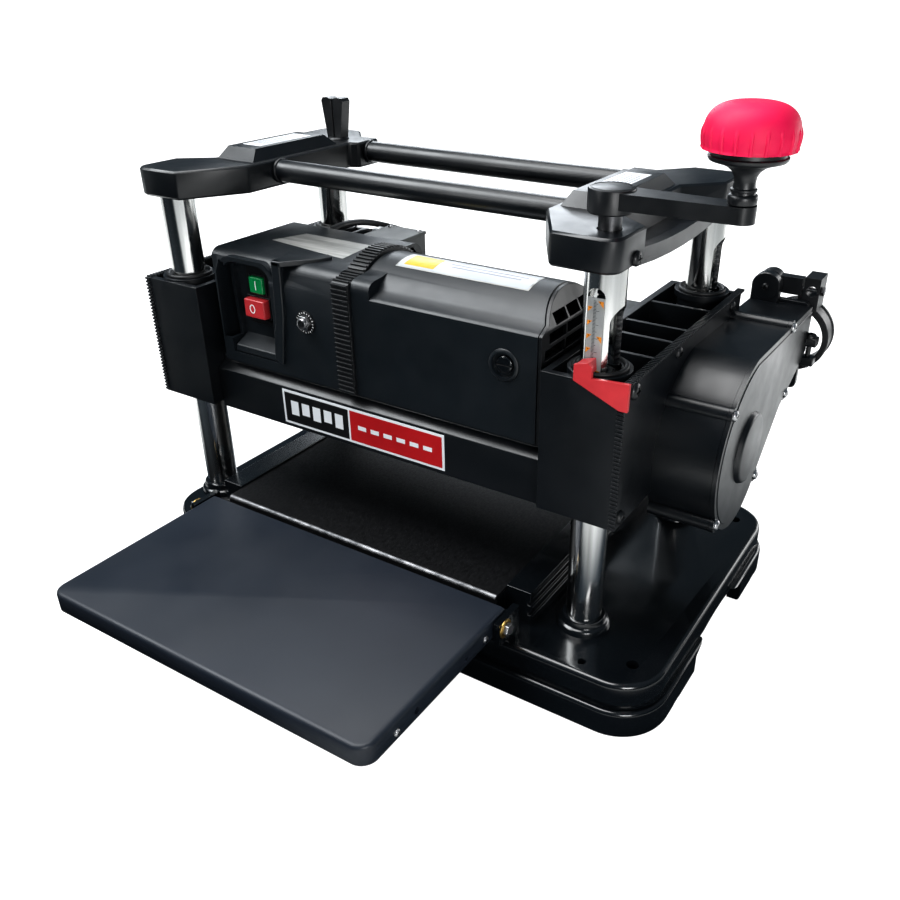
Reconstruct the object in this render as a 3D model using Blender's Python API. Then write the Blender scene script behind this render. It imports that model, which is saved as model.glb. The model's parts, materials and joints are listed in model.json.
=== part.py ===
"""Four-column bench thickness planer, modelled as separate pieces.

All sizes below are millimetres and every mesh is written in metres. X runs across the machine, Y is the
feed direction, Z is up. The origin lies on the underside plane, midway between the four columns.
"""

import math

import bmesh
import bpy
from mathutils import Matrix, Vector

MM = 0.001
GAP = 0.3            # clearance left between touching pieces

# columns and base
COLUMN_X = 212.5
COLUMN_Y = 104.5
COLUMN_R = 15.0
COLUMN_BORE_R = 12.4
COLUMN_FOOT_Z = 42.0
BASE_X = (-236.0, 296.0)
BASE_Y = (-164.0, 152.0)
BASE_TOP = 50.0
BASE_TIER = 25.0
BASE_TIER_OUT = 4.0
BASE_CORNER_R = 40.0
BASE_SKIN = 8.0
FLANGE_R = 21.7
COLLAR_R = 18.5
COLLAR_TOP = 62.0
SLOT_W = 22.5        # opening in each column's outward side for the lift nut's tongue
SLOT_Z = (190.0, 331.0)
SCALE_SLOT_W = 13.0
SCALE_SLOT_Z = (205.0, 345.0)
NUT_Z = (262.0, 280.0)

# bed and folding tables
BED_HALF = 153.0
BED_Y = (-150.0, 148.0)
BED_TOP = 81.0
SHEET_T = 2.5
GUIDE_OUT = 177.0
GUIDE_TOP = 83.0
TABLE_HALF = 167.0
TABLE_REACH = 180.5
TABLE_RIM_Z = 63.0
TABLE_T = 3.0
PIVOT_DY = 13.0      # hinge line in from the table's inner edge
PIVOT_Z = 72.5
TABLE_CORNER_R = 12.0
TABLES = (("infeed", -1, -158.0), ("outfeed", 1, 156.0))    # side in Y and inner edge
HINGE_BORE_R = 4.4

# top brackets, bars and crank
BRACKET_Z = (358.0, 382.0)
BRACKET_IN = 149.0
BAR_R = 9.8
BAR_Z = 371.5
BAR_Y = (-36.0, 84.0)
BAR_BOSS_IN = 140.0
CRANK_HUB_R = 16.0
CRANK_Z = (393.0, 409.5)
CRANK_REACH = 86.0
KNOB_CAP_R = 28.0

# carriage
BOX_IN = 177.4
BOX_OUT = 243.7
BOX_Y = (-129.7, 120.9)
BOX_Z = (165.3, 280.8)
BOX_WALL = 6.0
GUIDE_BORE_R = 15.7
BEAM_FRONT = -118.0
DECK_Z = (209.6, 212.5)
CROSS_RIB_Y = (-62.0, -24.0, 6.0, 60.0)
HOOD_TOP = 256.0
TERMINAL_X = (-126.0, -80.0)
TERMINAL_Y = (29.0, 92.0)
TERMINAL_TOP = 297.0
CUT_Z = 157.0        # cutting plane

# cutterhead, feed rollers, motor, fan
CUTTER_Y = 8.0
CUTTER_R = 26.0
CUTTER_Z = CUT_Z + CUTTER_R
ROLLER_Y = (-58.0, 70.0)
ROLLER_R = 18.0
ROLLER_Z = CUT_Z - 1.0 + ROLLER_R
MOTOR_Y = -64.0
MOTOR_Z = 270.0
ARCH_R = 54.0
COVER_FRONT = -118.0
COVER_X = (-6.0, 168.0)
BAND_X = (-23.7, -6.3)
HOUSING_X = (-170.0, -24.0)
FAN_X = (244.0, 293.0)
FAN_WALL = 3.0
DUCT_END_Y = 170.0
DUCT_Z = (216.0, 262.0)
SCREW_POSTS = ((-42.0, 239.0), (-50.0, 146.0), (52.0, 143.0), (104.0, 263.0), (116.0, 197.0))
CLAMP_PIVOT = (253.0, 276.0)
RING_CENTRE = (281.5, 228.0)
RING_Y = (177.3, 202.0)

# buttons as x range, z range and front face
BUTTONS = {"start_button": ((-132, -116), (279, 294), -108), "stop_button": ((-137, -113), (257, 274), -112)}
BUTTON_BACK = -95.0
RECESS_FLOOR = -100.0
RESET_PLACE = (-58.0, 268.0)

# supply cord, folded into a hank on the chip hood
CORD_D = 7.0
HANK_X = -152.0
HANK_Y = (38.5, 93.5)    # centres of the two folds
HANK_FOLD_R = 21.5       # centreline of the outer column of turns
HANK_LAYERS = 4
HANK_COLUMNS = 2
GLAND_X = TERMINAL_X[0] + 9.0
GLAND_Z = 270.0
GLAND_TIP = TERMINAL_Y[1] + 26.0
# by hand: straight out of the gland, round to the left behind the hank, and up over its left side
CORD_STATIONS = [(-117, 118.5, 270), (-117.5, 126, 270.2), (-120.5, 134.5, 270.8), (-127, 141.5, 272),
                 (-136, 145.5, 273.8), (-146, 145.5, 276.2), (-155.5, 141, 279.2), (-163, 132.5, 283),
                 (-168.5, 120, 287.5), (-171.5, 105, 291.5), (-172.5, 88, 294.3), (-172.5, 70, 295.5),
                 (-172, 54, 294.6), (-169.5, 41, 292.6)]

CORNERS = {"front_left": (-1, -1), "front_right": (1, -1), "rear_left": (-1, 1), "rear_right": (1, 1)}


# ---- meshes ---------------------------------------------------------------------------------------

def clear_scene():
    for item in list(bpy.data.objects):
        bpy.data.objects.remove(item, do_unlink=True)


def solid(bm):
    """Turns a bmesh in millimetres into an object with outward faces."""
    bmesh.ops.recalc_face_normals(bm, faces=bm.faces)
    mesh = bpy.data.meshes.new("solid")
    bm.to_mesh(mesh)
    bm.free()
    item = bpy.data.objects.new("solid", mesh)
    bpy.context.collection.objects.link(item)
    return item


def axis_frame(axis):
    """The rotation that takes a shape drawn in XY and raised along Z to one raised along the axis.

    Drawn (x, y) becomes (y, z) for axis X, (x, z) for axis Y and (x, y) for axis Z.
    """
    columns = {"x": ((0, 1, 0), (0, 0, 1), (1, 0, 0)),
               "y": ((1, 0, 0), (0, 0, 1), (0, 1, 0)),
               "z": ((1, 0, 0), (0, 1, 0), (0, 0, 1))}[axis]
    return Matrix(columns).transposed()


def skin(rings):
    """A closed solid through rings of points with equal counts."""
    bm = bmesh.new()
    rows = [[bm.verts.new(point) for point in ring] for ring in rings]
    bm.faces.new(rows[0])
    bm.faces.new(rows[-1])
    count = len(rows[0])
    for near, far in zip(rows, rows[1:]):
        for i in range(count):
            j = (i + 1) % count
            bm.faces.new((near[i], near[j], far[j], far[i]))
    return solid(bm)


def prism(points, axis, low, high):
    """An outline raised along an axis from low to high."""
    frame = axis_frame(axis)
    return skin([[frame @ Vector((p[0], p[1], level)) for p in points] for level in (low, high)])


def box(x, y, z):
    return prism([(x[0], y[0]), (x[1], y[0]), (x[1], y[1]), (x[0], y[1])], "z", z[0], z[1])


def circle(centre, radius, count):
    step = 2 * math.pi / count
    return [(centre[0] + radius * math.cos(i * step), centre[1] + radius * math.sin(i * step))
            for i in range(count)]


def arc(centre, radius, first, last, count):
    """Points on an arc between two angles in degrees, both ends included."""
    angles = [math.radians(first + (last - first) * i / count) for i in range(count + 1)]
    return [(centre[0] + radius * math.cos(a), centre[1] + radius * math.sin(a)) for a in angles]


def rounded(x, y, radius, count=5):
    """A rectangle with round corners."""
    points = []
    for cx, cy, first in ((x[1], y[1], 0), (x[0], y[1], 90), (x[0], y[0], 180), (x[1], y[0], 270)):
        inner = (cx - math.copysign(radius, cx - sum(x) / 2), cy - math.copysign(radius, cy - sum(y) / 2))
        points += arc(inner, radius, first, first + 90, count)
    return points


def rod(axis, centre, radius, low, high, count=20):
    return prism(circle(centre, radius, count), axis, low, high)


def turned(profile, axis, centre, count=24):
    """A solid of revolution: profile is (distance along the axis, radius) pairs with closed ends."""
    frame = axis_frame(axis)
    return skin([[frame @ Vector((p[0], p[1], along)) for p in circle(centre, radius, count)]
                 for along, radius in profile])


def applied(item):
    """Makes an object's modifiers part of its mesh."""
    bpy.context.view_layer.update()
    graph = bpy.context.evaluated_depsgraph_get()
    item.data = bpy.data.meshes.new_from_object(item.evaluated_get(graph))
    item.modifiers.clear()
    return item


def combine(target, others, operation):
    """Applies an exact Boolean with each of the other solids, then removes them."""
    for other in others:
        step = target.modifiers.new("step", "BOOLEAN")
        step.operation = operation
        step.solver = "EXACT"
        step.object = other
        applied(target)
        bpy.data.objects.remove(other, do_unlink=True)
    return target


def join(target, *others):
    return combine(target, others, "UNION")


def cut(target, *others):
    return combine(target, others, "DIFFERENCE")


def bevel(item, width):
    """Breaks the sharp edges of a solid that is still in millimetres."""
    step = item.modifiers.new("edge", "BEVEL")
    step.width = width
    step.segments = 1
    step.limit_method = "ANGLE"
    step.angle_limit = math.radians(30)
    return applied(item)


def grown(pair, amount):
    return (pair[0] - amount, pair[1] + amount)


def mirrored(points, side):
    """Reflects an outline drawn for the right side to the side asked for."""
    flipped = [(side * x, y) for x, y in points]
    return flipped if side > 0 else flipped[::-1]


def span(side, near, far):
    """An X range given outward from the middle, on the side asked for."""
    return tuple(sorted((side * near, side * far)))


# ---- finished pieces ------------------------------------------------------------------------------

MATERIALS = {
    "gloss_black": ((0.012, 0.013, 0.016, 1), 0.22, 0.0),
    "satin_black": ((0.03, 0.033, 0.04, 1), 0.45, 0.0),
    "chrome": ((0.75, 0.76, 0.78, 1), 0.15, 1.0),
    "steel": ((0.5, 0.5, 0.52, 1), 0.35, 1.0),
    "bed_steel": ((0.05, 0.05, 0.055, 1), 0.4, 0.6),
    "table_blue": ((0.05, 0.06, 0.085, 1), 0.4, 0.3),
    "red_knob": ((0.85, 0.02, 0.1, 1), 0.4, 0.0),
    "red_plastic": ((0.7, 0.03, 0.04, 1), 0.45, 0.0),
    "green_plastic": ((0.01, 0.35, 0.12, 1), 0.4, 0.0),
    "scale_silver": ((0.6, 0.61, 0.62, 1), 0.4, 0.5),
    "rubber": ((0.02, 0.02, 0.02, 1), 0.7, 0.0),
    "copper": ((0.6, 0.3, 0.15, 1), 0.4, 1.0),
    "motor_grey": ((0.06, 0.063, 0.07, 1), 0.5, 0.0),
}


def material(name):
    found = bpy.data.materials.get(name)
    if found:
        return found
    color, roughness, metallic = MATERIALS[name]
    made = bpy.data.materials.new(name)
    made.use_nodes = True
    shader = made.node_tree.nodes["Principled BSDF"]
    shader.inputs["Base Color"].default_value = color
    shader.inputs["Roughness"].default_value = roughness
    shader.inputs["Metallic"].default_value = metallic
    return made


def finish(item, name, finish_name, origin=(0, 0, 0)):
    """Names a solid, scales it to metres and puts its origin where it turns or slides."""
    mesh = item.data.copy()
    shift = Vector(origin) * MM
    mesh.transform(Matrix.Translation(-shift) @ Matrix.Scale(MM, 4))
    mesh.name = name
    mesh.materials.clear()
    mesh.materials.append(material(finish_name))
    mesh.shade_smooth()
    mesh.set_sharp_from_angle(angle=math.radians(35))
    item.data = mesh
    item.name = name
    item.location = shift
    return item


# ---- base -----------------------------------------------------------------------------------------

def arch_outline():
    """The arch between the feet, as (y, z) points."""
    return [(-60, -5), (-60, 20)] + arc((0, -177), 206, 107, 73, 8) + [(60, 20), (60, -5)]


def base_casting():
    lower = rounded(grown(BASE_X, BASE_TIER_OUT), grown(BASE_Y, BASE_TIER_OUT), BASE_CORNER_R + BASE_TIER_OUT)
    body = prism(lower, "z", 0, BASE_TIER)
    upper = prism(rounded(BASE_X, BASE_Y, BASE_CORNER_R), "z", 10, BASE_TOP)
    body = join(body, upper)
    inside = rounded(grown(BASE_X, -BASE_SKIN), grown(BASE_Y, -BASE_SKIN), BASE_CORNER_R - BASE_SKIN)
    body = cut(body, prism(inside, "z", -5, BASE_TOP - BASE_SKIN))
    for sx, sy in CORNERS.values():
        centre = (sx * COLUMN_X, sy * COLUMN_Y)
        profile = [(32, FLANGE_R), (BASE_TOP + 5, FLANGE_R), (BASE_TOP + 6, COLLAR_R), (COLLAR_TOP, COLLAR_R)]
        body = join(body, turned(profile, "z", centre, 24))
        body = cut(body, rod("z", centre, COLUMN_R + GAP, COLUMN_FOOT_Z, COLLAR_TOP + 5, 24))
        body = cut(body, rod("z", centre, 8, 25, BASE_TOP, 12))
    body = cut(body, prism(arch_outline(), "x", BASE_X[0] - 20, BASE_X[1] + 20))
    for hole in ((270, -132), (270, 120), (-208, -148), (-208, 136)):
        body = cut(body, rod("z", hole, 5, 30, 60, 12))
    return finish(body, "base_casting", "gloss_black")


def base_cover():
    x = grown(BASE_X, -BASE_SKIN - 24)
    y = grown(BASE_Y, -BASE_SKIN - 12)
    return finish(prism(rounded(x, y, 20, 3), "z", 0, 3), "base_cover", "satin_black")


def chain_outline(reach):
    """A loop round the four lift sprockets at the given distance from their centres."""
    points = []
    for (sx, sy), first in (((1, 1), 0), ((-1, 1), 90), ((-1, -1), 180), ((1, -1), 270)):
        points += arc((sx * COLUMN_X, sy * COLUMN_Y), reach, first, first + 90, 5)
    return points


def lift_chain():
    loop = prism(chain_outline(14.6), "z", 20, 26)
    loop = cut(loop, prism(chain_outline(11.2), "z", 10, 30))
    return finish(loop, "lift_chain", "steel")


def bed_casting():
    body = box((-GUIDE_OUT, GUIDE_OUT), (BED_Y[0] + 17, BED_Y[1] - 17), (BASE_TOP + GAP, GUIDE_TOP))
    body = join(body, box((-BED_HALF + 1, BED_HALF - 1), grown(BED_Y, -3), (BASE_TOP + GAP, GUIDE_TOP)))
    body = cut(body, box((-BED_HALF - GAP, BED_HALF + GAP), (-200, 200), (BED_TOP - SHEET_T - GAP, 120)))
    body = cut(body, box((-BED_HALF + 8, BED_HALF - 8), grown(BED_Y, -12), (BASE_TOP - 5, BED_TOP - 10)))
    for side in (1, -1):
        for z in (60, 70):
            groove = box(span(side, GUIDE_OUT - 3, GUIDE_OUT + 5), (-200, 200), (z, z + 2.5))
            body = cut(body, groove)
    return finish(body, "bed_casting", "gloss_black")


def hinge_ears():
    """Each end of the bed carries a yoke whose two ears hold a table's hinge rod."""
    made = []
    for name, side_y, inner in TABLES:
        pivot_y = inner + side_y * PIVOT_DY
        near = BED_Y[0] + 2.6 if side_y < 0 else BED_Y[1] - 2.6
        y = tuple(sorted((near, pivot_y + side_y * 8)))
        cross = tuple(sorted((near, near + side_y * 6)))
        body = box((-174.5, 174.5), cross, (BASE_TOP + GAP, 71))
        for side in (1, -1):
            body = join(body, box(span(side, 168.5, 174.5), y, (BASE_TOP + GAP + 8, 80)))
        body = cut(body, rod("x", (pivot_y, PIVOT_Z), HINGE_BORE_R, -180, 180, 16))
        made.append(finish(body, name + "_hinge_yoke", "gloss_black"))
    return made


def bed_sheet():
    """The bed's ground steel sheet, its two ends rolled down over the casting."""
    outline = [(BED_Y[0], BED_TOP - 8), (BED_Y[0], BED_TOP - 3)]
    outline += arc((BED_Y[0] + 3, BED_TOP - 3), 3, 180, 90, 4)
    outline += arc((BED_Y[1] - 3, BED_TOP - 3), 3, 90, 0, 4)
    outline += [(BED_Y[1], BED_TOP - 8), (BED_Y[1] - 2, BED_TOP - 8), (BED_Y[1] - 2, BED_TOP - SHEET_T)]
    outline += [(BED_Y[0] + 2, BED_TOP - SHEET_T), (BED_Y[0] + 2, BED_TOP - 8)]
    return finish(prism(outline, "x", -BED_HALF, BED_HALF), "bed_sheet", "bed_steel")


def folding_table(name, side_y, inner):
    """A pressed table: a sheet with a turned-down rim on its three free sides."""
    outer = inner + side_y * TABLE_REACH
    y = tuple(sorted((inner, outer)))
    pivot = (inner + side_y * PIVOT_DY, PIVOT_Z)
    x = (-TABLE_HALF, TABLE_HALF)
    square = tuple(sorted((inner, inner + side_y * 30)))
    body = prism(rounded(x, y, TABLE_CORNER_R, 4), "z", TABLE_RIM_Z, BED_TOP)
    body = join(body, box(x, square, (TABLE_RIM_Z, BED_TOP)))
    room = tuple(sorted((inner - side_y * 5, outer - side_y * TABLE_T)))
    inside = rounded(grown(x, -TABLE_T), room, TABLE_CORNER_R - TABLE_T, 4)
    body = cut(body, prism(inside, "z", 50, BED_TOP - TABLE_T))
    body = cut(body, rod("x", pivot, HINGE_BORE_R, -200, 200, 16))
    return finish(body, name + "_table", "table_blue", (0, pivot[0], pivot[1]))


def hinge_rod(name, side_y, inner):
    pivot = (inner + side_y * PIVOT_DY, PIVOT_Z)
    profile = [(-180.5, 5.5), (-175, 5.5), (-175, 4), (175, 4), (175, 5.5), (180.5, 5.5)]
    return finish(turned(profile, "x", pivot, 10), name + "_hinge_rod", "steel")


# ---- columns and lift screws ----------------------------------------------------------------------

def slot_cutter(centre, angle, width, low, high):
    """An upright slot through a column's wall, with a round top."""
    half = width / 2
    outline = [(-half, low), (half, low)] + arc((0, high - half), half, 0, 180, 8)
    cutter = prism(outline, "y", -COLUMN_R - 5, -4)
    turn = Matrix.Rotation(angle + math.pi / 2, 4, "Z")
    cutter.data.transform(Matrix.Translation((centre[0], centre[1], 0)) @ turn)
    return cutter


def column(name, sx, sy):
    centre = (sx * COLUMN_X, sy * COLUMN_Y)
    tube = rod("z", centre, COLUMN_R, COLUMN_FOOT_Z + GAP, BRACKET_Z[0] - GAP, 24)
    tube = cut(tube, rod("z", centre, COLUMN_BORE_R, 30, 370, 16))
    outward = 0 if sx > 0 else math.pi
    tube = cut(tube, slot_cutter(centre, outward, SLOT_W, *SLOT_Z))
    if name == "front_right":
        tube = cut(tube, slot_cutter(centre, -math.pi / 2, SCALE_SLOT_W, *SCALE_SLOT_Z))
    return finish(tube, "column_" + name, "chrome")


def thickness_scale():
    y = -COLUMN_Y - COLUMN_R
    x = (COLUMN_X - 6.2, COLUMN_X + 6.2)
    return finish(box(x, (y + 0.9, y + 2.1), (SCALE_SLOT_Z[0] + 1, 338)), "thickness_scale", "scale_silver")


def lead_screw(name, sx, sy):
    """A lift screw with its chain sprocket; the front right one runs up to the crank."""
    centre = (sx * COLUMN_X, sy * COLUMN_Y)
    profile = [(16, 6.5), (19, 6.5), (19, 9), (20.5, 10.8), (25.5, 10.8), (27, 9), (27, 6.5), (31, 6.5)]
    profile += [(31, 5.5)]
    if name == "front_right":
        profile += [(351, 5.5), (353, 8.2), (CRANK_Z[0], 8.2)]
    else:
        profile += [(352, 5.5)]
    return finish(turned(profile, "z", centre, 12), "lead_screw_" + name, "steel", (*centre, 16))


def lift_nut(name, sx, sy):
    """A nut inside the column, with a tongue out through the slot to the carriage."""
    centre = (sx * COLUMN_X, sy * COLUMN_Y)
    body = rod("z", centre, 11.4, *NUT_Z, 16)
    tongue_y = (centre[1] - 4.6, centre[1] + 4.6)
    tongue = box(span(sx, COLUMN_X + 4, COLUMN_X + 14.6), tongue_y, grown(NUT_Z, -3))
    body = join(body, tongue)
    body = cut(body, rod("z", centre, 6.0, NUT_Z[0] - 5, NUT_Z[1] + 5, 12))
    return finish(body, "lift_nut_" + name, "steel")


# ---- top frame ------------------------------------------------------------------------------------

def bracket_outline():
    """Plan of the right bracket: an end over each column and a waist set inward between them."""
    front, rear = -131.0, 127.0
    points = [(BRACKET_IN, -76), (181, front + 1)]
    points += arc((219, front + 12), 12, 270, 360, 4)
    points += [(231, -84), (203, -62), (203, 50), (231, 80)]
    points += arc((219, rear - 12), 12, 0, 90, 4)
    points += [(186, rear), (162, 99), (BAR_BOSS_IN, 99), (BAR_BOSS_IN, 67), (BRACKET_IN, 63)]
    return points


def raised_plateau(side):
    """The sloped-sided raised pad on a bracket's waist."""
    low = [(153, -66), (199, -66), (199, 53), (153, 53)]
    high = [(159, -54), (193, -54), (193, 38), (159, 38)]
    levels = ((low, BRACKET_Z[1] - 2), (high, 392))
    return skin([[(side * x, y, z) for x, y in ring] for ring, z in levels])


def bracket(name, side):
    body = bevel(prism(mirrored(bracket_outline(), side), "z", *BRACKET_Z), 1.8)
    body = join(body, raised_plateau(side))
    lower = arc((0, 1022), 673, 277.3, 262.7, 6)
    rib_outline = [(-86, 366.5)] + arc((0, 1010), 649, 263, 277, 6) + [(86, 366.5)] + lower
    body = join(body, prism(rib_outline, "x", *span(side, 219, 228)))
    body = join(body, box(span(side, 200, 221), (-64, 54), (359.5, 361)))
    if side > 0:
        body = cut(body, rod("z", (COLUMN_X, -COLUMN_Y), 8.8, 340, 400, 20))
    return finish(body, "bracket_" + name, "gloss_black")


def top_bar(name, y, reach):
    bar = rod("x", (y, BAR_Z), BAR_R, -reach + GAP, reach - GAP, 24)
    return finish(bar, "top_bar_" + name, "gloss_black")


def crank_arm():
    x, y = COLUMN_X, -COLUMN_Y
    tip = x + CRANK_REACH
    hub = [(CRANK_Z[0] + GAP, CRANK_HUB_R), (CRANK_Z[1] - 1, CRANK_HUB_R), (CRANK_Z[1], CRANK_HUB_R - 1.5)]
    body = turned(hub, "z", (x, y), 28)
    blade = [(x, y - 12), (tip, y - 8.5)] + arc((tip, y), 8.5, -60, 60, 4) + [(tip, y + 8.5), (x, y + 12)]
    body = join(body, prism(blade, "z", CRANK_Z[0] + 4, CRANK_Z[1] - 1.5))
    return finish(body, "crank_arm", "satin_black", (x, y, CRANK_Z[0]))


def crank_knob():
    centre = (COLUMN_X + CRANK_REACH, -COLUMN_Y)
    low = CRANK_Z[1] - 1.5 + GAP
    stem = [(low, 8.5), (low + 6, 8.8), (low + 8, 7.2), (low + 13, 6.6), (low + 19, 8), (low + 24, 14),
            (low + 27, 21), (low + 30, 24), (low + 32, 24)]
    cap_low = low + 32 + GAP
    cap = [(cap_low, KNOB_CAP_R - 1), (cap_low + 2, KNOB_CAP_R), (cap_low + 12, KNOB_CAP_R - 1),
           (cap_low + 19, KNOB_CAP_R - 4), (cap_low + 24, KNOB_CAP_R - 10), (cap_low + 27, KNOB_CAP_R - 20)]
    origin = (*centre, low)
    return [finish(turned(stem, "z", centre, 16), "crank_knob_stem", "satin_black", origin),
            finish(turned(cap, "z", centre, 24), "crank_knob_cap", "red_knob", origin)]


def lock_lever():
    x, y, z = -172.0, 74.0, BRACKET_Z[1] + GAP
    outline = [(x - 8.5, z), (x + 8.5, z), (x + 14, z + 38), (x + 2, z + 39.5), (x, z + 38),
               (x - 2, z + 39.5), (x - 14, z + 38)]
    return finish(prism(outline, "y", y - 6, y + 6), "lock_lever", "satin_black", (x, y, z))


# ---- carriage frame -------------------------------------------------------------------------------

def drive_holes(side):
    """Cutters for the shafts that pass through an end box's walls."""
    inner = span(side, BOX_IN - 5, BOX_IN + BOX_WALL + 5)
    outer = span(side, BOX_OUT - BOX_WALL - 5, BOX_OUT + 5)
    holes = [rod("x", (CUTTER_Y, CUTTER_Z), 8, *inner, 16)]
    for y in ROLLER_Y:
        holes.append(rod("x", (y, ROLLER_Z), 6, *inner, 12))
    if side > 0:
        holes.append(rod("x", (CUTTER_Y, CUTTER_Z), 8, *outer, 16))
    else:
        holes.append(rod("x", (MOTOR_Y, MOTOR_Z), 6.5, *inner, 16))
    return holes


def end_box(name, side):
    """A carriage end: an open-topped casting with a guide boss round each column."""
    room_x = span(side, BOX_IN + BOX_WALL, BOX_OUT - BOX_WALL)
    body = box(span(side, BOX_IN, BOX_OUT), BOX_Y, BOX_Z)
    body = cut(body, box(room_x, grown(BOX_Y, -BOX_WALL), (BOX_Z[0] + 8, 300)))
    if side < 0:
        body = cut(body, box(room_x, (-78, 82), (150, 180)))
    centres = [(side * COLUMN_X, sy * COLUMN_Y) for sy in (-1, 1)]
    boss = [(BOX_Z[0] + 2, 21), (BOX_Z[1] - 3, 21), (BOX_Z[1] - 3, 24), (BOX_Z[1] + 2.5, 24)]
    for centre in centres:
        body = join(body, turned(boss, "z", centre, 24))
    for y in CROSS_RIB_Y if side > 0 else ():
        body = join(body, box(span(side, BOX_IN + 3, BOX_OUT - 3), (y - 2, y + 2), (258, BOX_Z[1] - 1)))
    for centre in centres:
        body = cut(body, rod("z", centre, GUIDE_BORE_R, 150, 300, 24))
    return finish(cut(body, *drive_holes(side)), name + "_end_box", "gloss_black")


def front_beam():
    """The front cross beam with the thin deck that the motor stands on."""
    y = BEAM_FRONT
    outline = [(y, 160), (y, 200), (y + 9, 206), (y + 9, DECK_Z[1]), (12 - GAP, DECK_Z[1]),
               (12 - GAP, DECK_Z[0]), (y + 14, DECK_Z[0]), (y + 14, 160)]
    return finish(prism(outline, "x", -BOX_IN + GAP, BOX_IN - GAP), "front_beam", "gloss_black")


def dust_hood():
    """The rear beam with the chip hood over the cutterhead, open underneath."""
    x = (-BOX_IN + GAP, BOX_IN - GAP)
    body = join(box(x, (12, 118), (212.5, HOOD_TOP)), box(x, (103, 118), (160, 214)))
    body = cut(body, box(grown(x, -4), (16, 98), (200, HOOD_TOP - 4)))
    return finish(body, "dust_hood", "satin_black")


def terminal_box():
    body = bevel(box(TERMINAL_X, TERMINAL_Y, (HOOD_TOP + GAP, TERMINAL_TOP)), 1.0)
    body = cut(body, rod("y", (GLAND_X, GLAND_Z), 6.2, TERMINAL_Y[1] - 12, TERMINAL_Y[1] + 10, 16))
    return finish(body, "terminal_box", "motor_grey")


# ---- motor and switch -----------------------------------------------------------------------------

def motor_outline(out):
    """Section of the motor cover as (y, z), grown outward: an arch over a flat front and rear."""
    radius = ARCH_R + out
    front = COVER_FRONT - out
    rear = MOTOR_Y + radius
    shoulder = MOTOR_Y - math.cos(math.radians(36)) * radius
    ledge = [(front, DECK_Z[1] + GAP), (front, 298 + out), (shoulder, 303 + out)]
    return ledge + arc((MOTOR_Y, MOTOR_Z), radius, 142, 0, 10) + [(rear, DECK_Z[1] + GAP)]


def motor_shell(name, x, out, wall, finish_name):
    shell = prism(motor_outline(out), "x", *x)
    inner = motor_outline(out - wall)
    inner[0] = (inner[0][0], DECK_Z[1] - 10)
    inner[-1] = (inner[-1][0], DECK_Z[1] - 10)
    shell = cut(shell, prism(inner, "x", x[0] - 5, x[1] + 5))
    return finish(shell, name, finish_name)


def vent_grille():
    x = (COVER_X[1] + GAP, COVER_X[1] + 3.3)
    plate = prism(motor_outline(-1), "x", *x)
    for row in range(5):
        z = 235 + 15 * row
        half = math.sqrt((ARCH_R - 8) ** 2 - max(0, z + 10 - MOTOR_Z) ** 2)
        for low, high in ((-half, -2), (2, half)):
            plate = cut(plate, box((x[0] - 5, x[1] + 5), (MOTOR_Y + low, MOTOR_Y + high), (z, z + 10)))
    return finish(plate, "vent_grille", "satin_black")


def recess_outline(grow):
    """The switch recess as (x, z), its upper corners cut off."""
    left, right, low, high, corner = -154 - grow, -97 + grow, 222 - grow, 308 + grow, 14
    return [(left, low), (right, low), (right, high - corner), (right - corner, high), (left + corner, high),
            (left, high - corner)]


def switch_housing():
    """The switch housing: a thick-walled hood open below and at the motor, with a recessed panel."""
    top, rear = 315.0, 8.0
    section = [(COVER_FRONT, DECK_Z[1] + GAP), (COVER_FRONT, top - 10), (COVER_FRONT + 10, top),
               (rear - 12, top), (rear, top - 14), (rear, DECK_Z[1] + GAP)]
    body = prism(section, "x", *HOUSING_X)
    inner = [(COVER_FRONT + 3, 200), (COVER_FRONT + 3, top - 12), (COVER_FRONT + 12, top - 3),
             (rear - 13, top - 3), (rear - 3, top - 16), (rear - 3, 200)]
    body = cut(body, prism(inner, "x", HOUSING_X[0] + 4, HOUSING_X[1] + 5))
    body = join(body, prism(recess_outline(4), "y", COVER_FRONT + 1, -89))
    body = cut(body, prism(recess_outline(0), "y", COVER_FRONT - 10, RECESS_FLOOR))
    bezel = box((-142, -109), (-105, RECESS_FLOOR + 2), (251, 301))
    body = join(body, bezel, box((-96, -87), (COVER_FRONT - 4, COVER_FRONT + 2), (225, 312)))
    for x, z, _ in BUTTONS.values():
        body = cut(body, box(grown(x, GAP), (-120, BUTTON_BACK + 3.5), grown(z, GAP)))
    body = cut(body, rod("y", RESET_PLACE, 4, COVER_FRONT - 5, COVER_FRONT + 8, 12))
    body = cut(body, rod("x", (MOTOR_Y, MOTOR_Z), 6.5, HOUSING_X[0] - 5, HOUSING_X[0] + 10, 16))
    return finish(body, "switch_housing", "motor_grey")


def push_buttons():
    made = []
    for name, (x, z, front) in BUTTONS.items():
        color = "green_plastic" if name == "start_button" else "red_plastic"
        centre = (sum(x) / 2, front, sum(z) / 2)
        made.append(finish(bevel(box(x, (front, BUTTON_BACK), z), 0.8), name, color, centre))
    reset = turned([(COVER_FRONT - 6, 3.2), (COVER_FRONT + 7, 3.2)], "y", RESET_PLACE, 12)
    origin = (RESET_PLACE[0], COVER_FRONT - 6, RESET_PLACE[1])
    made.append(finish(reset, "reset_button", "satin_black", origin))
    return made


def motor_stator():
    ring = rod("x", (MOTOR_Y, MOTOR_Z), ARCH_R - 4, 8, 98, 28)
    ring = cut(ring, rod("x", (MOTOR_Y, MOTOR_Z), 28, 0, 110, 24))
    return finish(ring, "motor_stator", "steel")


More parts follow.
